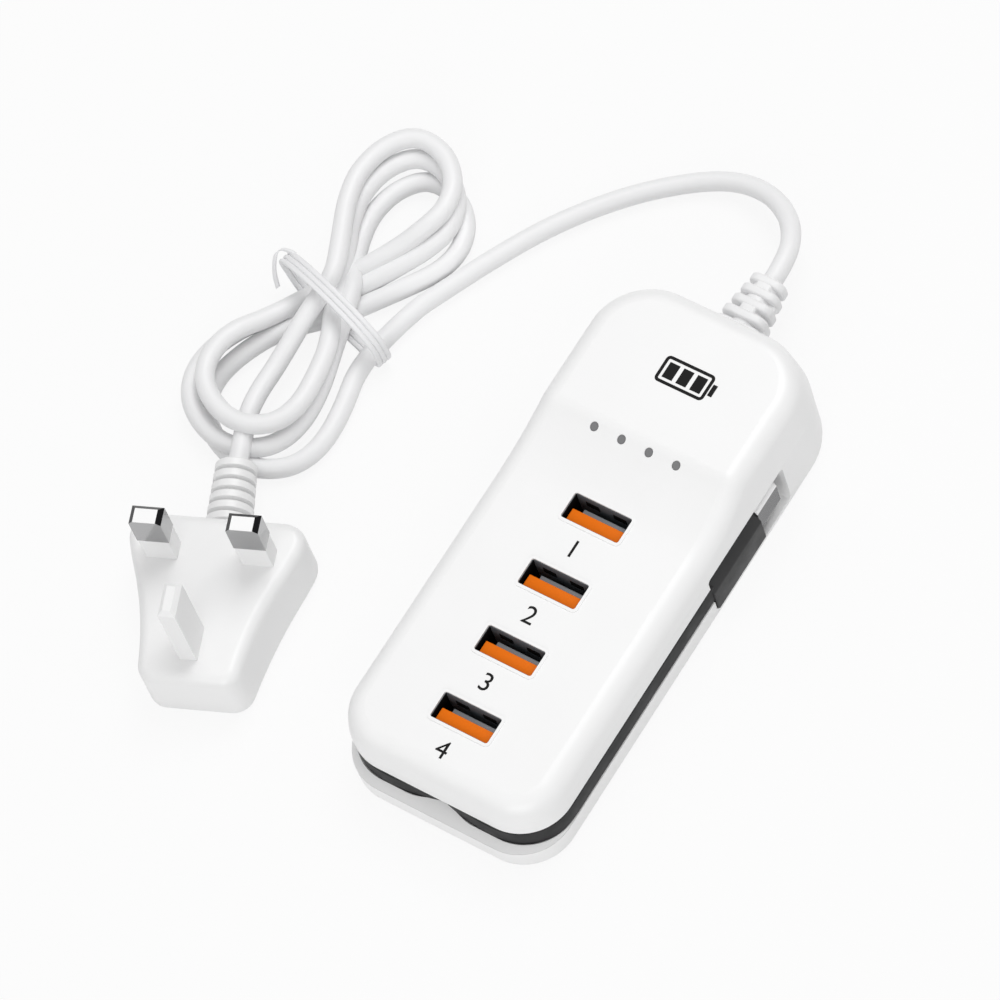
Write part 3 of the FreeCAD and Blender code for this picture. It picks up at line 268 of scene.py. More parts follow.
def moulding(name, colour, roughness, grain=2600.0, depth=0.01, shade=0.97, gleam=0.5):
    """Moulded plastic or rubber with a fine grain and an uneven gloss."""
    material, tree, shader, coordinates = new_finish(name)
    dark = tuple(c * shade for c in colour)
    clouds = noise(tree, coordinates, CLOUD_SCALE)
    tree.links.new(tint(tree, clouds, dark, colour), shader.inputs["Base Color"])
    low, high = (roughness * share for share in GLOSS_SPREAD)
    gloss = spread(tree, noise(tree, coordinates, GLOSS_SCALE), low, high)
    tree.links.new(gloss, shader.inputs["Roughness"])
    shader.inputs["Specular IOR Level"].default_value = gleam
    bump(tree, noise(tree, coordinates, grain, GRAIN_DETAIL), depth, shader)
    return material


print("moulded plastic: clouds at", CLOUD_SCALE, "and gloss at", GLOSS_SCALE, "per metre")

# %% [markdown]
# ## Plated metal
#
# Drawn and plated metal has fine lines along it. Noise that is squeezed along one axis gives them,
# where a brush texture would need a flat layout. The ends of the pins and the upper edge of the lead
# tips mirror the bright ceiling, so a finish may have a painted highlight: above a height it turns to a
# bright, even white, and the metal's mirror is taken away there.

# %% Plated metal
LINE_STRETCH = (1.0, 1.0, 14.0)
LINE_SCALE = 420.0
LINE_DETAIL = 4.0
LINE_DEPTH = 0.004
LINE_SHADE = 0.9
LINE_GLOSS = (0.75, 1.3)
PAINTED_HIGHLIGHT_BLEND = 0.15
PAINTED_HIGHLIGHT_COLOUR = (0.97, 0.97, 0.97, 1)


# Painted highlight: above a height the plated colour blends to white and the metal turns matte,
# standing in for the mirrored ceiling.
def paint_highlight(tree, shader, coordinates, colour, height):
    """Paints a highlight above a height in millimetres: the colour turns white, and the metal's mirror
    is taken away there.
    """
    split = tree.nodes.new("ShaderNodeSeparateXYZ")
    tree.links.new(coordinates, split.inputs[0])
    rise = tree.nodes.new("ShaderNodeMapRange")
    rise.inputs["From Min"].default_value = height * MM
    rise.inputs["From Max"].default_value = (height + PAINTED_HIGHLIGHT_BLEND) * MM
    tree.links.new(split.outputs["Z"], rise.inputs["Value"])
    painted_highlight = tree.nodes.new("ShaderNodeMix")
    painted_highlight.data_type = "RGBA"
    painted_highlight.inputs["B"].default_value = PAINTED_HIGHLIGHT_COLOUR
    tree.links.new(colour, painted_highlight.inputs["A"])
    tree.links.new(rise.outputs["Result"], painted_highlight.inputs["Factor"])
    sheen = tree.nodes.new("ShaderNodeMath")
    sheen.operation = "SUBTRACT"
    sheen.inputs[0].default_value = 1.0
    tree.links.new(rise.outputs["Result"], sheen.inputs[1])
    tree.links.new(sheen.outputs[0], shader.inputs["Metallic"])
    return painted_highlight.outputs["Result"]


def plating(name, colour, roughness, highlight_height=None):
    """Plated metal with fine drawn lines along the piece, and a painted highlight above a height."""
    material, tree, shader, coordinates = new_finish(name)
    shader.inputs["Metallic"].default_value = 1.0
    mapping = tree.nodes.new("ShaderNodeMapping")
    mapping.inputs["Scale"].default_value = LINE_STRETCH
    tree.links.new(coordinates, mapping.inputs["Vector"])
    drawn = noise(tree, mapping.outputs["Vector"], LINE_SCALE, LINE_DETAIL)
    shown = tint(tree, drawn, tuple(c * LINE_SHADE for c in colour), colour)
    if highlight_height:
        shown = paint_highlight(tree, shader, coordinates, shown, highlight_height)
    tree.links.new(shown, shader.inputs["Base Color"])
    low, high = (roughness * share for share in LINE_GLOSS)
    tree.links.new(spread(tree, drawn, low, high), shader.inputs["Roughness"])
    bump(tree, drawn, LINE_DEPTH, shader)
    return material


print("plated metal: lines at", LINE_SCALE, "per metre")

# %% [markdown]
# ## Palette
#
# The strip has a white housing, black leads and bright metal, and a few more colours inside. Each
# slot of the record gets a finish of its own name, and each solid is dressed by its slot. Setting
# finishes piece by piece would also work, but then two pieces of one plastic could drift apart.

# %% Palette
finishes = {
    "white_plastic": moulding("white_plastic", (0.92, 0.92, 0.92), 0.32),
    "cord_plastic": moulding("cord_plastic", (0.9, 0.9, 0.905), 0.42, grain=1800.0, depth=0.02),
    "plug_plastic": moulding("plug_plastic", (0.9, 0.9, 0.9), 0.34),
    "tie_plastic": moulding("tie_plastic", (0.86, 0.86, 0.87), 0.5),
    "socket_steel": moulding("socket_steel", (0.13, 0.145, 0.16), 0.45, shade=0.8),
    "orange_plastic": moulding("orange_plastic", (0.83, 0.17, 0.004), 0.5, gleam=0.08),
    "contact_brass": plating("contact_brass", (0.62, 0.47, 0.2), 0.3),
    # Painted highlight: the pin ends turn white above 33.45 mm, and the lead tips' upper edge above
    # 11.75 mm.
    "pin_metal": plating("pin_metal", (0.42, 0.42, 0.425), 0.14, highlight_height=33.45),
    "tip_metal": plating("tip_metal", (0.17, 0.17, 0.175), 0.25, highlight_height=11.75),
    "tip_plastic": moulding("tip_plastic", (0.03, 0.03, 0.03), 0.5),
    "lead_rubber": moulding("lead_rubber", (0.02, 0.02, 0.021), 0.6, depth=0.02, gleam=0.3),
    "grip_plastic": moulding("grip_plastic", (0.024, 0.024, 0.025), 0.5, gleam=0.35),
    "board_laminate": moulding("board_laminate", (0.02, 0.12, 0.05), 0.4, shade=0.8),
    "light_guide": moulding("light_guide", (0.2, 0.2, 0.205), 0.3),
    "light_chip": moulding("light_chip", (0.75, 0.73, 0.5), 0.3),
    "ferrite": moulding("ferrite", (0.03, 0.03, 0.033), 0.7, depth=0.04),
    "coil_tape": moulding("coil_tape", (0.7, 0.45, 0.05), 0.5, shade=0.85),
    "capacitor_sleeve": moulding("capacitor_sleeve", (0.02, 0.02, 0.05), 0.3),
    "component_body": moulding("component_body", (0.03, 0.03, 0.03), 0.6, depth=0.03),
    "wire_cover": moulding("wire_cover", (0.2, 0.09, 0.03), 0.45),
}


def dress(piece, finish):
    """Gives a piece one finish in place of any it had."""
    piece.data.materials.clear()
    piece.data.materials.append(finishes[finish])


for row in frame["record"]["subparts"]:
    dress(nodes[row["node"]], row["material_slot"])
print("finishes:", len(finishes))

# %% [markdown]
# ## Route of the mains cord
#
# The cord leaves the strip's slotted relief, lies down in one wide curve and is wound three times into
# a figure of eight, tied at its waist. Its last strand goes to the plug. The free run's points are
# listed one by one. The turns could be chosen by hand too, but they are alike: each is a lower and an
# upper lobe, and a loop shifts and sizes the lobes so that the turns fan out over each other.

# %% Route of the mains cord
CORD_EXIT = (0.0, 79.4, 12.2)
CORD_ROUTE = [
    (0.0, 83.9, 12.2),
    (-1.4, 90.4, 11.4),
    (-6.0, 96.6, 9.2),
    (-14.0, 101.2, 6.4),
    (-24.0, 101.9, 3.8),
    (-34.4, 97.2, 2.3),
    (-45.9, 87.5, 2.3),
    (-57.0, 73.8, 2.3),
    (-65.2, 59.0, 2.3),
    (-70.2, 48.4, 2.3),
    (-74.0, 40.6, 2.3),
]
LOWER_LOBE = [(10.0, 13.3), (12.3, 4.4), (13.0, -3.7), (10.8, -9.8), (5.8, -13.2), (0.3, -14.0),
              (-5.9, -12.0), (-11.0, -7.9), (-12.9, -1.6), (-11.3, 5.4), (-7.3, 13.0)]
UPPER_LOBE = [(4.9, -12.4), (10.1, -4.9), (11.6, 1.5), (9.6, 8.0), (3.5, 13.2), (-4.5, 14.1),
              (-9.7, 8.5), (-11.5, 0.5), (-9.9, -7.1), (-5.9, -15.2)]
# Each turn: middle and size of its lower lobe, crossing, middle and size of its upper lobe, crossing
TURNS = [
    ((-89.8, 7.0, 2.3), 1.22, (-88.2, 32.0, 2.4), (-84.3, 56.8, 2.3), 1.03, (-87.4, 38.0, 6.9)),
    ((-95.2, 7.9, 4.6), 1.16, (-91.8, 34.1, 2.4), (-87.8, 59.8, 5.8), 1.02, (-91.3, 36.0, 6.9)),
    ((-93.8, 9.9, 9.6), 1.0, (-95.5, 36.2, 2.4), (-89.6, 62.4, 9.8), 1.02, (-90.8, 36.6, 11.2)),
]
CORD_TAIL = [(-92.2, 27.0, 9.4), (-92.6, 14.0, 6.4), (-92.6, 5.4, 6.6), (-91.4, -0.6, 7.0),
             (-89.2, -6.0, 7.0), (-86.77, -11.73, 7.0)]


def lobe_points(lobe, centre, size, before, after):
    """One lobe of a turn, its first and last points half of the way to the crossings' heights."""
    points = [(centre[0] + x * size, centre[1] + y * size, centre[2]) for x, y in lobe]
    for index, height in ((0, before), (-1, after)):
        x, y, z = points[index]
        points[index] = (x, y, (z + height) / 2)
    return points


cord_points = [CORD_EXIT] + CORD_ROUTE
height_before = CORD_ROUTE[-1][2]
for lower, lower_size, crossing_up, upper, upper_size, crossing_down in TURNS:
    cord_points += lobe_points(LOWER_LOBE, lower, lower_size, height_before, crossing_up[2])
    cord_points.append(crossing_up)
    cord_points += lobe_points(UPPER_LOBE, upper, upper_size, crossing_up[2], crossing_down[2])
    cord_points.append(crossing_down)
    height_before = crossing_down[2]
cord_points += CORD_TAIL
print("cord points:", len(cord_points))

# %% [markdown]
# ## Mains cord
#
# A cord is one smooth line of constant length and thickness. A chain of tubes would show its joints,
# so the cord is a single NURBS spline with a round bevel: the route's points pull the line towards
# them without making it kink.

# %% Mains cord
CORD_DIAMETER = 4.6 * MM
CORD_ORDER = 3
CORD_STEPS = 6
CORD_ROUND = 6

cord_curve = bpy.data.curves.new("mains_lead", "CURVE")
cord_curve.dimensions = "3D"
spline = cord_curve.splines.new("NURBS")
spline.points.add(len(cord_points) - 1)
for point, place in zip(spline.points, cord_points):
    point.co = (*(Vector(place) * MM), 1.0)
spline.order_u = CORD_ORDER
spline.use_endpoint_u = True
spline.resolution_u = CORD_STEPS
cord_curve.bevel_depth = CORD_DIAMETER / 2
cord_curve.bevel_resolution = CORD_ROUND
cord_curve.use_fill_caps = True
mains_lead = bpy.data.objects.new("mains_lead", cord_curve)
bpy.context.scene.collection.objects.link(mains_lead)
mains_lead.data.materials.append(finishes["cord_plastic"])
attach(mains_lead, "root")
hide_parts("mains_cord", "cord_hank", "plug_cord")

# %% [markdown]
# ## Starting a piece
#
# Each piece below starts as a primitive at its own size and is shaped in edit mode. A mesh could also
# be written out point by point, but then its sizes would be hard to read. An operator acts on all
# that is selected, so everything is deselected before a box is added.

# %% Starting a piece
def clear_selection():
    """Leaves edit mode and deselects every object."""
    if bpy.context.mode != "OBJECT":
        bpy.ops.object.mode_set(mode="OBJECT")
    bpy.ops.object.select_all(action="DESELECT")


def choose(piece):
    """Makes a piece active and the only one that is selected."""
    clear_selection()
    piece.select_set(True)
    bpy.context.view_layer.objects.active = piece


def apply_place(piece):
    """Moves a piece's place and turn into its mesh."""
    choose(piece)
    bpy.ops.object.transform_apply(location=True, rotation=True, scale=True)


def block(name, low, high):
    """A box between two corners in millimetres, active and in edit mode."""
    clear_selection()
    low, high = Vector(low) * MM, Vector(high) * MM
    bpy.ops.mesh.primitive_cube_add(size=1, location=(low + high) / 2)
    piece = bpy.context.object
    piece.name = name
    piece.scale = high - low
    bpy.ops.object.transform_apply(location=True, rotation=True, scale=True)
    bpy.ops.object.mode_set(mode="EDIT")
    return piece


print("modelling starts in", bpy.context.mode.lower(), "mode")

# %% [markdown]
# ## Picking and cutting
#
# In the window a hand picks edges and faces by looking. A script has no eyes, and counted numbers of
# edges change with every cut, so edges and faces are picked by their place, direction or normal, and
# are then bevelled, sliced or moved.

# %% Picking and cutting
STRAIGHT = 0.999
FACING = 0.9
TOUCH = 0.01


def pick(kind, test):
    """Selects edges or faces of the piece in edit mode by a test."""
    bpy.ops.mesh.select_mode(type=kind)
    bpy.ops.mesh.select_all(action="DESELECT")
    data = bpy.context.object.data
    mesh = bmesh.from_edit_mesh(data)
    for item in {"EDGE": mesh.edges, "FACE": mesh.faces}[kind]:
        if test(item):
            item.select_set(True)
    mesh.select_flush_mode()
    bmesh.update_edit_mesh(data)


def middle(edge):
    """The middle of an edge, in millimetres."""
    return (edge.verts[0].co + edge.verts[1].co) / 2 / MM


def runs_along(edge, axis):
    """Whether an edge runs along one axis."""
    line = (edge.verts[1].co - edge.verts[0].co).normalized()
    return abs(line[axis]) > STRAIGHT


def bevel_where(test, size, segments):
    """Bevels the edges that pass a test, by a size in millimetres."""
    pick("EDGE", test)
    bpy.ops.mesh.bevel(offset=size * MM, segments=segments, affect="EDGES")


def slice_along(axis, cuts):
    """Cuts all edges along one axis into equal slices."""
    pick("EDGE", lambda edge: runs_along(edge, axis))
    bpy.ops.mesh.subdivide(number_cuts=cuts)


def move_points(change):
    """Moves each vertex of the active piece to what a function of its place in millimetres gives."""
    bpy.ops.object.mode_set(mode="OBJECT")
    data = bpy.context.object.data
    for vertex in data.vertices:
        vertex.co = Vector(change(vertex.co / MM)) * MM
    data.update()


def face_outwards():
    """Turns all faces of the active piece outwards."""
    bpy.ops.object.mode_set(mode="EDIT")
    bpy.ops.mesh.select_all(action="SELECT")
    bpy.ops.mesh.normals_make_consistent(inside=False)


print("edges within", TOUCH, "mm of a place count as there")

# %% [markdown]
# ## Copying and settling
#
# What repeats is modelled once and copied, each copy with a mesh of its own. A finished piece is
# settled: its place goes into its mesh, because a pattern on Object coordinates would slide on a
# moved object, and it is smoothed, dressed and tied to the strip.

# %% Copying and settling
SMOOTH_ANGLE = math.radians(38)


def copy_piece(piece, name, shift=(0, 0, 0)):
    """A copy of a piece with its own mesh, moved by a shift in millimetres and active."""
    clear_selection()
    twin = piece.copy()
    twin.data = piece.data.copy()
    twin.name = name
    bpy.context.scene.collection.objects.link(twin)
    twin.data.transform(Matrix.Translation(Vector(shift) * MM))
    choose(twin)
    return twin


def mirror_piece(piece, name):
    """A copy of a piece on the strip's other flank, with its faces turned outwards again."""
    twin = copy_piece(piece, name)
    move_points(lambda spot: (-spot.x, spot.y, spot.z))
    face_outwards()
    return twin


def add_finish(piece, finish, test):
    """Gives a second finish to the faces that pass a test."""
    piece.data.materials.append(finishes[finish])
    bpy.ops.object.mode_set(mode="EDIT")
    pick("FACE", test)
    piece.active_material_index = 1
    bpy.ops.object.material_slot_assign()
    bpy.ops.object.mode_set(mode="OBJECT")


def settle(piece, finish, slot, *stands_for):
    """Fixes a piece's place in its mesh, smooths it, dresses it and ties it to the strip."""
    apply_place(piece)
    bpy.ops.object.shade_smooth_by_angle(angle=SMOOTH_ANGLE)
    if finish:
        dress(piece, finish)
    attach(piece, "root")
    if stands_for:
        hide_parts(*stands_for)
    print(piece.name, len(piece.data.polygons), "faces")
    return piece


def join(name, pieces):
    """Joins several pieces into the first one."""
    clear_selection()
    for piece in pieces:
        piece.select_set(True)
    bpy.context.view_layer.objects.active = pieces[0]
    bpy.ops.object.join()
    pieces[0].name = name
    return pieces[0]


print("faces are smoothed up to", round(math.degrees(SMOOTH_ANGLE)), "degrees")

# %% [markdown]
# ## Bars that follow a line
#
# The tie and the charging leads are flat strips that follow a bent line. A curve with a bevel would
# also give a strip, but it twists where the line turns in space. So a straight bar is cut into many
# slices, and each vertex is carried onto a smooth line, with the bar's width kept in one direction.

# %% Bars that follow a line
LINE_ORDER = 3
LINE_STEPS = 12
NEARLY = 1e-9


def smooth_line(points, closed=False):
    """Points read along a NURBS spline that follows a route in millimetres."""
    curve = bpy.data.curves.new("guide_line", "CURVE")
    curve.dimensions = "3D"
    guide = curve.splines.new("NURBS")
    guide.points.add(len(points) - 1)
    for point, place in zip(guide.points, points):
        point.co = (*place, 1.0)
    guide.order_u = LINE_ORDER
    guide.use_endpoint_u = not closed
    guide.use_cyclic_u = closed
    guide.resolution_u = LINE_STEPS
    holder = bpy.data.objects.new("guide_line", curve)
    mesh = bpy.data.meshes.new_from_object(holder)
    line = [vertex.co.copy() for vertex in mesh.vertices]
    bpy.data.objects.remove(holder)
    bpy.data.meshes.remove(mesh)
    bpy.data.curves.remove(curve)
    return line + line[:1] if closed else line


def line_length(line):
    """The length of a line of points."""
    return sum((b - a).length for a, b in zip(line, line[1:]))


def bend_along(line, wide):
    """Bends the active bar, which lies along X from 0, onto a line, with Y in a given direction."""
    reach = [0.0]
    for a, b in zip(line, line[1:]):
        reach.append(reach[-1] + (b - a).length)
    wide = Vector(wide).normalized()
    last = len(line) - 1

    def place(spot):
        along = min(max(spot.x, 0.0), reach[-1])
        index = min(next(i for i, r in enumerate(reach) if r >= along - NEARLY), last)
        index = max(index, 1)
        share = (along - reach[index - 1]) / (reach[index] - reach[index - 1])
        before = line[index] - line[index - 1]
        after = line[min(index + 1, last)] - line[index]
        earlier = line[index - 1] - line[max(index - 2, 0)]
        start = (earlier.normalized() + before.normalized()) if earlier.length else before
        end = (before.normalized() + after.normalized()) if after.length else before
        tangent = start.normalized().lerp(end.normalized(), share).normalized()
        centre = line[index - 1].lerp(line[index], share)
        return centre + wide * spot.y + wide.cross(tangent) * spot.z

    move_points(place)


def bar(name, length, width, thickness, corner, cuts):
    """A bar along X from 0, with rounded long edges, cut into slices."""
    piece = block(name, (0, -width / 2, -thickness / 2), (length, width / 2, thickness / 2))
    bevel_where(lambda edge: runs_along(edge, 0), corner, segments=4)
    slice_along(0, cuts)
    return piece


print("lines are read at", LINE_STEPS, "steps a span")

# %% [markdown]
# ## Sockets
#
# A socket is a deep can of steel sheet. An orange tongue stands along its front wall, with a grey
# spring plate behind it, and two spring windows in the far wall are dark plates of painted shade, for
# the shade behind the slots. A solid box with a dark top would look flat from the side, so the can is a
# box whose top face is inset by the sheet's thickness and extruded downwards, which hollows it. Its
# left inner wall gets the same painted shade. The tongue and the plate are boxes with soft edges. One
# socket is modelled and the others are copies of it.

# %% Sockets
SOCKETS = 4
SOCKET_FIRST = 8.25
SOCKET_PITCH = 18.0
CAN_HALF = (7.38, 3.23)
CAN_TOP = 22.2
CAN_DEPTH = 10.2
CAN_FLOOR = 0.3
CAN_SHEET = 0.12
# Boxes in a socket: along X, along Y from its middle, and down from its top
SPRING_PLATE = ((-4.6, 7.0), (0.05, 1.5), (7.0, 2.4))
TONGUE = ((-6.5, 7.1), (-3.1, 0.1), (10.1, 0.9))
WINDOW_PLACES = (-3.5, 3.6)
WINDOW_HALF = 1.7
WINDOW_DEEP = (3.0, 3.2)
WINDOW_DOWN = (3.9, 1.9)
SPRING_SOFT = 0.15
WINDOW_SOFT = 0.04
TONGUE_SOFT = 0.25
# Painted shade: a near-black finish for the can's shaded left inner wall and its spring windows.
finishes["socket_painted_shade"] = moulding("socket_painted_shade", (0.004, 0.004, 0.004), 0.7, gleam=0.1)
finishes["spring_plate"] = moulding("spring_plate", (0.2, 0.215, 0.23), 0.4, gleam=0.3)


def socket_plate(name, box, soft, finish):
    """A small box in the first socket, with soft edges and its own finish."""
    (left, right), (front, back), (deep, shallow) = box
    piece = block(name, (left, SOCKET_FIRST + front, CAN_TOP - deep),
                  (right, SOCKET_FIRST + back, CAN_TOP - shallow))
    bevel_where(lambda edge: True, soft, segments=3)
    bpy.ops.object.mode_set(mode="OBJECT")
    dress(piece, finish)
    return piece


can_bottom = CAN_TOP - CAN_DEPTH - CAN_FLOOR
can = block("socket_can", (-CAN_HALF[0], SOCKET_FIRST - CAN_HALF[1], can_bottom),
            (CAN_HALF[0], SOCKET_FIRST + CAN_HALF[1], CAN_TOP))
pick("FACE", lambda face: face.normal.z > FACING)
bpy.ops.mesh.inset(thickness=CAN_SHEET * MM)
bpy.ops.mesh.extrude_region_move(TRANSFORM_OT_translate={"value": (0, 0, -CAN_DEPTH * MM)})
bpy.ops.object.mode_set(mode="OBJECT")
dress(can, "socket_steel")
# Painted shade: the can's left inner wall is made dark where shade falls inside the can.
add_finish(can, "socket_painted_shade",
           lambda face: face.normal.x > FACING and face.calc_center_median().x < 0)
can_pieces = [can, socket_plate("spring_plate", SPRING_PLATE, SPRING_SOFT, "spring_plate")]
# Painted shade: the spring windows are dark plates where the slots show only shade.
for x in WINDOW_PLACES:
    window = ((x - WINDOW_HALF, x + WINDOW_HALF), WINDOW_DEEP, WINDOW_DOWN)
    can_pieces.append(socket_plate("spring_window", window, WINDOW_SOFT, "socket_painted_shade"))
cans = [join("socket_can_1", can_pieces)]
tongues = [socket_plate("socket_tongue_1", TONGUE, TONGUE_SOFT, "orange_plastic")]
for index in range(1, SOCKETS):
    shift = (0, -SOCKET_PITCH * index, 0)
    cans.append(copy_piece(cans[0], f"socket_can_{index + 1}", shift))
    tongues.append(copy_piece(tongues[0], f"socket_tongue_{index + 1}", shift))
for index in range(SOCKETS):
    settle(cans[index], None, "socket_steel", f"usb_shell_{index + 1}")
    settle(tongues[index], None, "orange_plastic", f"usb_tongue_{index + 1}")

# %% [markdown]
# ## Strain relief
#
# The gland where the cord leaves the strip is a stack of rounded rubber plates with gaps between
# them, so that it can bend. The plates are joined by bridges that change sides from gap to gap.
# Cutting the gaps out of one block would need many cuts, so each plate is a box of its own whose four
# long edges get a broad bevel and whose rims get a narrow one. The stack tapers towards the cord.

# %% Strain relief
RELIEF_START = 64.4
RELIEF_END = 79.2
RELIEF_HEIGHT = 12.2
RELIEF_CORE = 3.1
RELIEF_CORE_LAP = 0.6
RELIEF_PLATE_LAP = 0.02
RELIEF_PLATES = 5
RELIEF_PITCH = 3.24
RELIEF_PLATE = (6.0, 4.5)
RELIEF_THICKNESS = 2.05
RELIEF_TAPER = (0.38, 0.304)
BRIDGE_START = 1.0
BRIDGE_LENGTH = 3.2
BRIDGE_HALF = (2.0, 1.3)
BRIDGE_INSET = 0.1
# Bevels: of the edges along the cord, and of the rims
CORE_SOFT = (2.8, 0.2)
PLATE_SOFT = (2.6, 0.5)
BRIDGE_SOFT = (0.8, 0.2)


def relief_box(name, half_x, half_z, low_y, length, soft):
    """A rounded plate across the cord."""
    piece = block(name, (-half_x, low_y, RELIEF_HEIGHT - half_z),
                  (half_x, low_y + length, RELIEF_HEIGHT + half_z))
    bevel_where(lambda edge: runs_along(edge, 1), soft[0], segments=6)
    bevel_where(lambda edge: not runs_along(edge, 1), soft[1], segments=3)
    bpy.ops.object.mode_set(mode="OBJECT")
    return piece


def plate_half(index):
    """Half the width and half the height of one plate."""
    return [half - taper * index for half, taper in zip(RELIEF_PLATE, RELIEF_TAPER)]


core_y = RELIEF_START - RELIEF_CORE_LAP
relief_pieces = [relief_box("relief_core", RELIEF_CORE, RELIEF_CORE, core_y, RELIEF_END - core_y,
                            CORE_SOFT)]
for index in range(RELIEF_PLATES):
    plate_y = RELIEF_START + RELIEF_PITCH * index - RELIEF_PLATE_LAP
    relief_pieces.append(relief_box("relief_plate", *plate_half(index), plate_y, RELIEF_THICKNESS,
                                    PLATE_SOFT))
for index in range(RELIEF_PLATES - 1):
    bridge_y = RELIEF_START + RELIEF_PITCH * index + BRIDGE_START
    half_x, half_z = (half - BRIDGE_INSET for half in plate_half(index + 1))
    if index % 2:
        half_x = BRIDGE_HALF[0]
    else:
        half_z = BRIDGE_HALF[1]
    relief_pieces.append(relief_box("relief_bridge", half_x, half_z, bridge_y, BRIDGE_LENGTH,
                                    BRIDGE_SOFT))
strain_relief = settle(join("strain_relief", relief_pieces), "cord_plastic", "cord_plastic",
                       "cord_relief")

# %% [markdown]
# ## Twist tie
#
# The bundle is held by a flat tie: a plastic ribbon with three ribs, wrapped once round the waist of
# the figure of eight, its end twisted into a short curl. A bump could draw the ribs, but they show in
# the ribbon's outline. So the ribbon is three slim bars side by side, joined and bent together along
# a closed line that rises over the cords and passes under them.

# %% Twist tie
TIE_MIDDLE = Vector((-88.4, 31.3, 0.0))
TIE_TURN = math.radians(-16.9)
TIE_RIBS = 3
TIE_RIB = 1.3
TIE_RIB_PITCH = TIE_RIB * 0.98
TIE_THICKNESS = 1.0
TIE_CORNER = 0.46
TIE_SLICES = 160
# The loop's points: along the tie from its middle, and up
TIE_LOOP = [(-16.2, 11.2), (-12.5, 13.6), (-6.0, 14.9), (0.0, 15.2), (6.0, 14.7), (12.0, 13.2),
            (16.0, 10.6), (17.4, 6.6), (16.6, 2.4), (13.0, 0.7), (6.0, 0.5), (-2.0, 0.5),
            (-9.0, 0.6), (-13.2, 2.2), (-14.8, 6.0), (-16.4, 9.0)]
TIE_CURL = [(-101.6, 37.0, 12.4), (-104.1, 37.2, 12.9), (-106.0, 35.8, 12.2), (-105.6, 33.6, 10.4),
            (-105.0, 31.8, 7.6), (-103.8, 30.6, 5.4)]
CURL_ACROSS = (0.6, 0.5, 0.6)
tie_along = Vector((math.cos(TIE_TURN), math.sin(TIE_TURN), 0.0))
tie_across = Vector((-tie_along.y, tie_along.x, 0.0))
tie_points = [TIE_MIDDLE + tie_along * u + Vector((0, 0, z)) for u, z in TIE_LOOP]


def ribbed_ribbon(name, line, wide, ribs):
    """Parallel ribs, joined and bent along a line."""
    pieces = []
    for index in range(ribs):
        piece = bar(name, line_length(line), TIE_RIB, TIE_THICKNESS, TIE_CORNER, TIE_SLICES)
        shift = (index - (ribs - 1) / 2) * TIE_RIB_PITCH
        move_points(lambda spot: spot + Vector((0, shift, 0)))
        pieces.append(piece)
    ribbon = join(name, pieces)
    bend_along(line, wide)
    return ribbon


tie_loop = ribbed_ribbon("tie_loop", smooth_line(tie_points, closed=True), tie_across, TIE_RIBS)
tie_curl = ribbed_ribbon("tie_curl", smooth_line(TIE_CURL), CURL_ACROSS, 1)
twist_tie = settle(join("tie_ribbon", [tie_loop, tie_curl]), "tie_plastic", "tie_plastic", "twist_tie")

# %% [markdown]
# ## Charging leads
#
# Two flat black leads are stored in a groove round the strip. Each comes out of a slot in the middle
# of the front, bulges a little under the cover's edge, goes round the corner and lies flush in the
# flank. A lead is a flat bar with soft edges, bent along a line in the plan. The other one could be
# bent along a line of its own, but a mirrored copy is sure to be the same, once its faces are turned
# outwards again.

# %% Charging leads
LEAD_MIDDLE = 8.85
LEAD_HEIGHT = 5.8
LEAD_THICKNESS = 2.3
LEAD_CORNER = 0.6
LEAD_SLICES = 320
LEAD_LINE = [(1.1, -54.0), (1.1, -58.4), (1.1, -59.4), (1.9, -59.6), (3.4, -59.95), (6.5, -60.5),
             (10.0, -60.9), (13.0, -61.0), (15.8, -60.9), (19.7, -60.05), (23.2, -57.6),
             (25.6, -54.1), (26.3, -49.9), (26.25, -45.0), (26.25, -30.0), (26.25, -10.0), (26.25, 9.5)]
lead_line = smooth_line([(x, y, LEAD_MIDDLE) for x, y in LEAD_LINE])
right_lead = bar("right_lead", line_length(lead_line), LEAD_HEIGHT, LEAD_THICKNESS, LEAD_CORNER,
                 LEAD_SLICES)
bend_along(lead_line, (0, 0, 1))
left_lead = mirror_piece(right_lead, "left_lead")
settle(right_lead, "lead_rubber", "lead_rubber", "right_lead_cable")
settle(left_lead, "lead_rubber", "lead_rubber", "left_lead_cable")

# %% [markdown]
# ## Lip of the base
#
# In front of the leads the base slopes up from its wall to the groove, so that no flat ledge shows.
# The slope fades out round the corners, where the base and the cover are flush. A bevel on the base
# couldn't fade like that. So a unit box is cut into slices, and each vertex is moved to the housing's
# outline: one side of the box follows the base, the other follows the leads a little higher up and
# bends in with them in the middle.

# %% Lip of the base
LIP_STRAIGHT = 15.5
LIP_RADIUS = 12.0
LIP_CENTRE = -52.4
LIP_INSET = 0.08
LIP_FOOT = 5.88
LIP_ROOT = 0.9
LIP_RISE = 0.9
LIP_DEPTH = 2.5
LIP_WIDEN = (0.58, 0.22)
LIP_BAY = 8.5
LIP_BAY_DEPTH = 1.7
LIP_BAY_SLOPE = 0.33
LIP_SLICES = 140
lip_length = 2 * LIP_STRAIGHT + LIP_RADIUS * math.pi


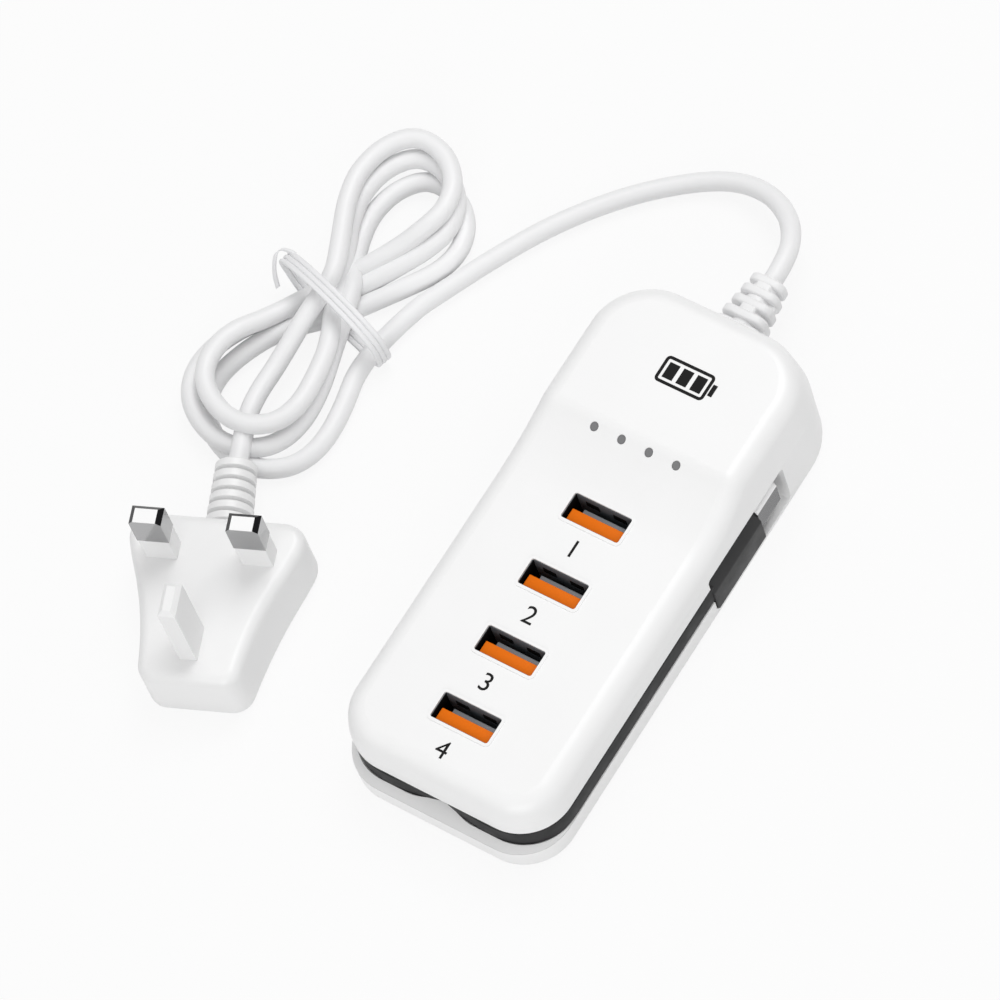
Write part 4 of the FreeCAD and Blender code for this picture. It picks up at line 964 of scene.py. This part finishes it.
def lip_point(spot):
    """Turns a place in the unit box into a place on the lip: along, inwards and up."""
    along = (spot.x - 0.5) * lip_length
    angle = max(abs(along) - LIP_STRAIGHT, 0.0) / LIP_RADIUS
    fade = math.cos(angle)
    radius = LIP_RADIUS - LIP_INSET + spot.y * (LIP_WIDEN[0] * fade - LIP_WIDEN[1])
    sideways = math.copysign(min(abs(along), LIP_STRAIGHT) + radius * math.sin(angle), along)
    share = min(abs(along) / LIP_BAY, 1.0)
    bay = LIP_BAY_DEPTH * (1 - share * share * (3 - 2 * share))
    centre = LIP_CENTRE + (LIP_DEPTH + bay) * spot.y
    rise = (LIP_RISE + LIP_BAY_SLOPE * bay) * spot.y * fade
    return (sideways, centre - radius * fade, LIP_FOOT + (rise if spot.z > 0.5 else -LIP_ROOT))


lip = block("base_lip", (0, 0, 0), (1, 1, 1))
slice_along(0, LIP_SLICES)
move_points(lip_point)
face_outwards()
settle(lip, "white_plastic", "white_plastic")

# %% [markdown]
# ## Grips of the leads
#
# Each lead ends in a black moulded grip that lies in the flank, its upper half sloping inwards to
# meet the cover. A wide bevel would round the slope off. So a box is cut once at the height where the
# slope begins, its upper outer edge is moved in, and all edges get a narrow bevel.

# %% Grips of the leads
GRIP_X = (23.9, 27.9)
GRIP_Y = (8.7, 28.7)
GRIP_Z = (2.2, 15.2)
GRIP_SLOPE = 9.6
GRIP_LEAN = 2.7
GRIP_EDGE = 0.35
GRIP_CREASE = math.radians(12)


def grip_point(spot):
    """Leans the grip's upper outer edge inwards."""
    leans = spot.x > GRIP_X[1] - TOUCH and spot.z > GRIP_Z[1] - TOUCH
    return (spot.x - GRIP_LEAN if leans else spot.x, spot.y, spot.z)


right_grip = block("right_grip", *zip(GRIP_X, GRIP_Y, GRIP_Z))
bpy.ops.mesh.select_all(action="SELECT")
bpy.ops.mesh.bisect(plane_co=(0, 0, GRIP_SLOPE * MM), plane_no=(0, 0, 1))
move_points(grip_point)
bpy.ops.object.mode_set(mode="EDIT")
bevel_where(lambda edge: edge.calc_face_angle(0) > GRIP_CREASE, GRIP_EDGE, segments=3)
left_grip = mirror_piece(right_grip, "left_grip")
settle(right_grip, "grip_plastic", "grip_plastic", "right_lead_grip")
settle(left_grip, "grip_plastic", "grip_plastic", "left_lead_grip")

# %% [markdown]
# ## Mains plug
#
# The plug lies on its back with its pins up. Its body is a tapered block with hollow flanks and a
# soft upper rim. It could be sculpted, but its outline follows a simple rule: a box is sliced across
# its length, and its slices are narrowed towards the nose with a slight waist. The upright corners
# then get a broad bevel, and the rims a smaller one.

# %% Mains plug
PLUG_PLACE = Vector((-75.4, -36.2, 0.0)) * MM
PLUG_TURN = math.radians(22.0)
PLUG_BACK = 9.5
PLUG_FRONT = -31.5
PLUG_THICKNESS = 16.0
PLUG_HALF_BACK = 22.5
PLUG_HALF_NOSE = 11.5
PLUG_HOLLOW_LOW = 1.1
PLUG_HOLLOW_HIGH = 2.0
PLUG_HOLLOW_END = 0.85
PLUG_SLICES = 11
PLUG_FIRST_SLICE = -25.0
PLUG_SLICE_PITCH = 2.3
PLUG_BACK_CORNER = 8.0
PLUG_NOSE_CORNER = 4.0
PLUG_UPPER_RIM = 2.6
PLUG_LOWER_RIM = 1.4
PLUG_CREASE = 1.0


def plug_point(spot):
    """Narrows the plug towards its nose, with hollow flanks that are deeper at the top."""
    share = (spot.y - PLUG_FRONT) / (PLUG_BACK - PLUG_FRONT)
    deepest = PLUG_HOLLOW_HIGH if spot.z > PLUG_THICKNESS / 2 else PLUG_HOLLOW_LOW
    hollow = math.sin(math.pi * min(share / PLUG_HOLLOW_END, 1.0)) * deepest
    half = PLUG_HALF_NOSE + (PLUG_HALF_BACK - PLUG_HALF_NOSE) * share - hollow
    return (half if spot.x > 0 else -half, spot.y, spot.z)


def upright(edge):
    """Whether an edge goes from the plug's underside to its top."""
    return abs(edge.verts[0].co.z - edge.verts[1].co.z) > FACING * PLUG_THICKNESS * MM


def is_rim(edge):
    """Whether an edge is a sharp one, and not one that only divides a face."""
    return edge.calc_face_angle(0) > PLUG_CREASE


plug = block("plug_shell", (-PLUG_HALF_BACK, PLUG_FRONT, 0),
             (PLUG_HALF_BACK, PLUG_BACK, PLUG_THICKNESS))
for index in range(PLUG_SLICES):
    slice_y = PLUG_FIRST_SLICE + PLUG_SLICE_PITCH * index
    bpy.ops.mesh.select_all(action="SELECT")
    bpy.ops.mesh.bisect(plane_co=(0, slice_y * MM, 0), plane_no=(0, 1, 0))
move_points(plug_point)
bpy.ops.object.mode_set(mode="EDIT")
bevel_where(lambda edge: upright(edge) and middle(edge).y > PLUG_BACK - TOUCH,
            PLUG_BACK_CORNER, segments=9)
bevel_where(lambda edge: upright(edge) and middle(edge).y < PLUG_FRONT + TOUCH,
            PLUG_NOSE_CORNER, segments=7)
bevel_where(lambda edge: is_rim(edge) and middle(edge).z > PLUG_THICKNESS - TOUCH,
            PLUG_UPPER_RIM, segments=7)
bevel_where(lambda edge: is_rim(edge) and middle(edge).z < TOUCH,
            PLUG_LOWER_RIM, segments=4)
bpy.ops.object.mode_set(mode="OBJECT")
plug.rotation_euler = (0, 0, PLUG_TURN)
plug.location = PLUG_PLACE
apply_place(plug)
print("plug body", len(plug.data.polygons), "faces")

# %% [markdown]
# ## Boot of the plug
#
# Behind the plug a ribbed boot keeps the cord from kinking. It could be turned from a profile by a
# spin, but its ribs repeat, so extruding is shorter: a disc is extruded and resized step by step,
# with the same steps for each rib, and the boot is then laid down in the cord's direction.

# %% Boot of the plug
BOOT_TURN = math.radians(26.5)
BOOT_HEIGHT = 7.0
BOOT_EMBED = 2.0
BOOT_SIDES = 48
BOOT_RADIUS = 5.6
BOOT_COLLAR = 2.4
BOOT_RIBS = 6
BOOT_RIB_RADIUS = 5.5
BOOT_RIB_TAPER = 0.11
# Steps of one rib, from its groove on: how far along, and how far inside the rib's radius
BOOT_RIB_STEPS = [(0.15, 1.5), (0.6, 1.5), (0.15, 0.3), (0.15, 0.15), (1.5, 0.15), (0.15, 0.3)]
BOOT_END = (0.3, 4.3)
boot_steps = [(BOOT_COLLAR, BOOT_RADIUS)]
for index in range(BOOT_RIBS):
    rib_radius = BOOT_RIB_RADIUS - BOOT_RIB_TAPER * index
    boot_steps += [(step, rib_radius - inset) for step, inset in BOOT_RIB_STEPS]
boot_steps.append(BOOT_END)

clear_selection()
bpy.ops.mesh.primitive_circle_add(vertices=BOOT_SIDES, radius=BOOT_RADIUS * MM, fill_type="NGON")
boot = bpy.context.object
bpy.ops.object.mode_set(mode="EDIT")
bpy.ops.mesh.select_all(action="SELECT")
radius, height = BOOT_RADIUS, 0.0
for step, size in boot_steps:
    height += step
    bpy.ops.mesh.extrude_region_move(TRANSFORM_OT_translate={"value": (0, 0, step * MM)})
    bpy.ops.transform.resize(value=(size / radius, size / radius, 1),
                             center_override=(0, 0, height * MM))
    radius = size
face_outwards()
bpy.ops.object.mode_set(mode="OBJECT")
plug_axis = Vector((-math.sin(PLUG_TURN), math.cos(PLUG_TURN), 0))
boot.rotation_euler = (-math.pi / 2, 0, BOOT_TURN)
boot_foot = plug_axis * (PLUG_BACK - BOOT_EMBED) + Vector((0, 0, BOOT_HEIGHT))
boot.location = PLUG_PLACE + boot_foot * MM
apply_place(boot)
print("boot length", round(height, 2))
plug_shell = settle(join("plug_shell", [plug, boot]), "plug_plastic", "plug_plastic", "plug_body")

# %% [markdown]
# ## Flat pins of the plug
#
# Each flat pin is a plated blade in a white sleeve. Its end has wide polished bevels, which mirror the
# dark of the room while its flat end mirrors the bright ceiling. Mirrors alone would need a whole room
# round the object, so the bevels get a painted dark reflection instead, and the flat end a painted
# highlight. A blade is a box of which three end edges get a single bevel, a sleeve is a box with soft
# upright edges, and the second pin is a copy of the first.

# %% Flat pins of the plug
PIN_SPACING = 22.2
PIN_HALF = (3.7, 2.25)
PIN_FOOT = 15.9
PIN_SLEEVE = 24.4
PIN_END = 33.7
PIN_LAP = 0.1
PIN_BEVEL = 1.1
PIN_SLANT = (0.3, 0.95)
SLEEVE_INSET = 0.05
SLEEVE_EDGE = 0.3
# Painted reflection: the bevels' near-black stands in for the dark of the room that the metal mirrors.
finishes["pin_bevel"] = plating("pin_bevel", (0.03, 0.03, 0.032), 0.12)


def pin_box(name, inset, low_z, high_z):
    """A box round the axis of the live pin."""
    x = -PIN_SPACING / 2
    half_x, half_y = (half - inset for half in PIN_HALF)
    return block(name, (x - half_x, -half_y, low_z), (x + half_x, half_y, high_z))


def is_bevel(face):
    """Whether a face is one of the bevels with a painted dark reflection."""
    return PIN_SLANT[0] < face.normal.z < PIN_SLANT[1]


live_blade = pin_box("live_blade", 0.0, PIN_SLEEVE - PIN_LAP, PIN_END)
bevel_where(lambda edge: middle(edge).z > PIN_END - TOUCH and middle(edge).y > TOUCH - PIN_HALF[1],
            PIN_BEVEL, segments=1)
bpy.ops.object.mode_set(mode="OBJECT")
dress(live_blade, "pin_metal")
add_finish(live_blade, "pin_bevel", is_bevel)
live_sleeve = pin_box("live_sleeve", SLEEVE_INSET, PIN_FOOT, PIN_SLEEVE)
bevel_where(lambda edge: runs_along(edge, 2), SLEEVE_EDGE, segments=3)
bpy.ops.object.mode_set(mode="OBJECT")
dress(live_sleeve, "plug_plastic")
neutral_blade = copy_piece(live_blade, "neutral_blade", (PIN_SPACING, 0, 0))
neutral_sleeve = copy_piece(live_sleeve, "neutral_sleeve", (PIN_SPACING, 0, 0))
pin_pieces = [live_blade, live_sleeve, neutral_blade, neutral_sleeve]
for piece in pin_pieces:
    piece.rotation_euler = (0, 0, PLUG_TURN)
    piece.location = PLUG_PLACE
settle(live_blade, None, "pin_metal", "live_pin")
settle(live_sleeve, None, "plug_plastic", "live_pin_sleeve")
settle(neutral_blade, None, "pin_metal", "neutral_pin")
settle(neutral_sleeve, None, "plug_plastic", "neutral_pin_sleeve")

# %% [markdown]
# ## Numerals of the sockets
#
# The sockets are numbered with plain numerals. Print is a very thin layer of ink on the plastic. A
# mask in the finish would need a flat layout, so the numerals are text with a little thickness, made
# into a mesh before it is moved to its place.

# %% Numerals of the sockets
INK = 0.04
PANEL_TOP = 22.4
NUMERAL_SIZE = 6.2
NUMERAL_PLACE = (-0.6, -9.0)
finishes["print_ink"] = moulding("print_ink", (0.009, 0.009, 0.009), 0.5, gleam=0.12)
for index in range(SOCKETS):
    clear_selection()
    bpy.ops.object.text_add(location=(0, 0, 0))
    numeral = bpy.context.object
    numeral.data.body = str(index + 1)
    numeral.data.size = NUMERAL_SIZE * MM
    numeral.data.extrude = INK * MM
    numeral.data.align_x = "CENTER"
    numeral.data.align_y = "CENTER"
    bpy.ops.object.convert(target="MESH")
    numeral.name = f"socket_numeral_{index + 1}"
    numeral_y = SOCKET_FIRST - SOCKET_PITCH * index + NUMERAL_PLACE[1]
    numeral.location = Vector((NUMERAL_PLACE[0], numeral_y, PANEL_TOP)) * MM
    settle(numeral, "print_ink", "grip_plastic")

# %% [markdown]
# ## Battery sign
#
# The head carries a plain battery sign with three bars, in the same ink. It is drawn with thin
# plates. The outer one is a frame: its upper and lower faces are inset, and the two inner faces are
# bridged, which opens its middle without a cutting tool.

# %% Battery sign
HEAD_TOP = 27.4
SIGN_PLACE = (1.8, 44.6)
# Plates of the sign: left, right, front and back
SIGN_FRAME = (-6.6, 6.0, -3.4, 3.4)
SIGN_KNOB = (6.3, 7.4, -1.5, 1.5)
SIGN_BAR = (-5.2, -2.6, -2.0, 2.0)
SIGN_BARS = 3
SIGN_BAR_PITCH = 3.6
SIGN_CORNER = 1.1
SIGN_LINE = 0.75


def ink_plate(name, sides, shift=0.0):
    """A thin plate of ink on the head, still in edit mode."""
    left, right, front, back = sides
    x, y = SIGN_PLACE[0] + shift, SIGN_PLACE[1]
    return block(name, (x + left, y + front, HEAD_TOP - INK), (x + right, y + back, HEAD_TOP + INK))


sign_pieces = [ink_plate("battery_frame", SIGN_FRAME)]
bevel_where(lambda edge: runs_along(edge, 2), SIGN_CORNER, segments=5)
pick("FACE", lambda face: abs(face.normal.z) > FACING)
bpy.ops.mesh.inset(thickness=SIGN_LINE * MM)
bpy.ops.mesh.bridge_edge_loops()
sign_pieces.append(ink_plate("battery_knob", SIGN_KNOB))
for index in range(SIGN_BARS):
    sign_pieces.append(ink_plate("battery_bar", SIGN_BAR, SIGN_BAR_PITCH * index))
settle(join("battery_sign", sign_pieces), "print_ink", "grip_plastic")

# %% [markdown]
# ## Pieces on the cord
#
# The cord bends and all else on it is stiff. Here the pieces on it are only counted.

# %% Pieces on the cord
print("cord declared with", len(pin_pieces) + 4, "pieces on it")
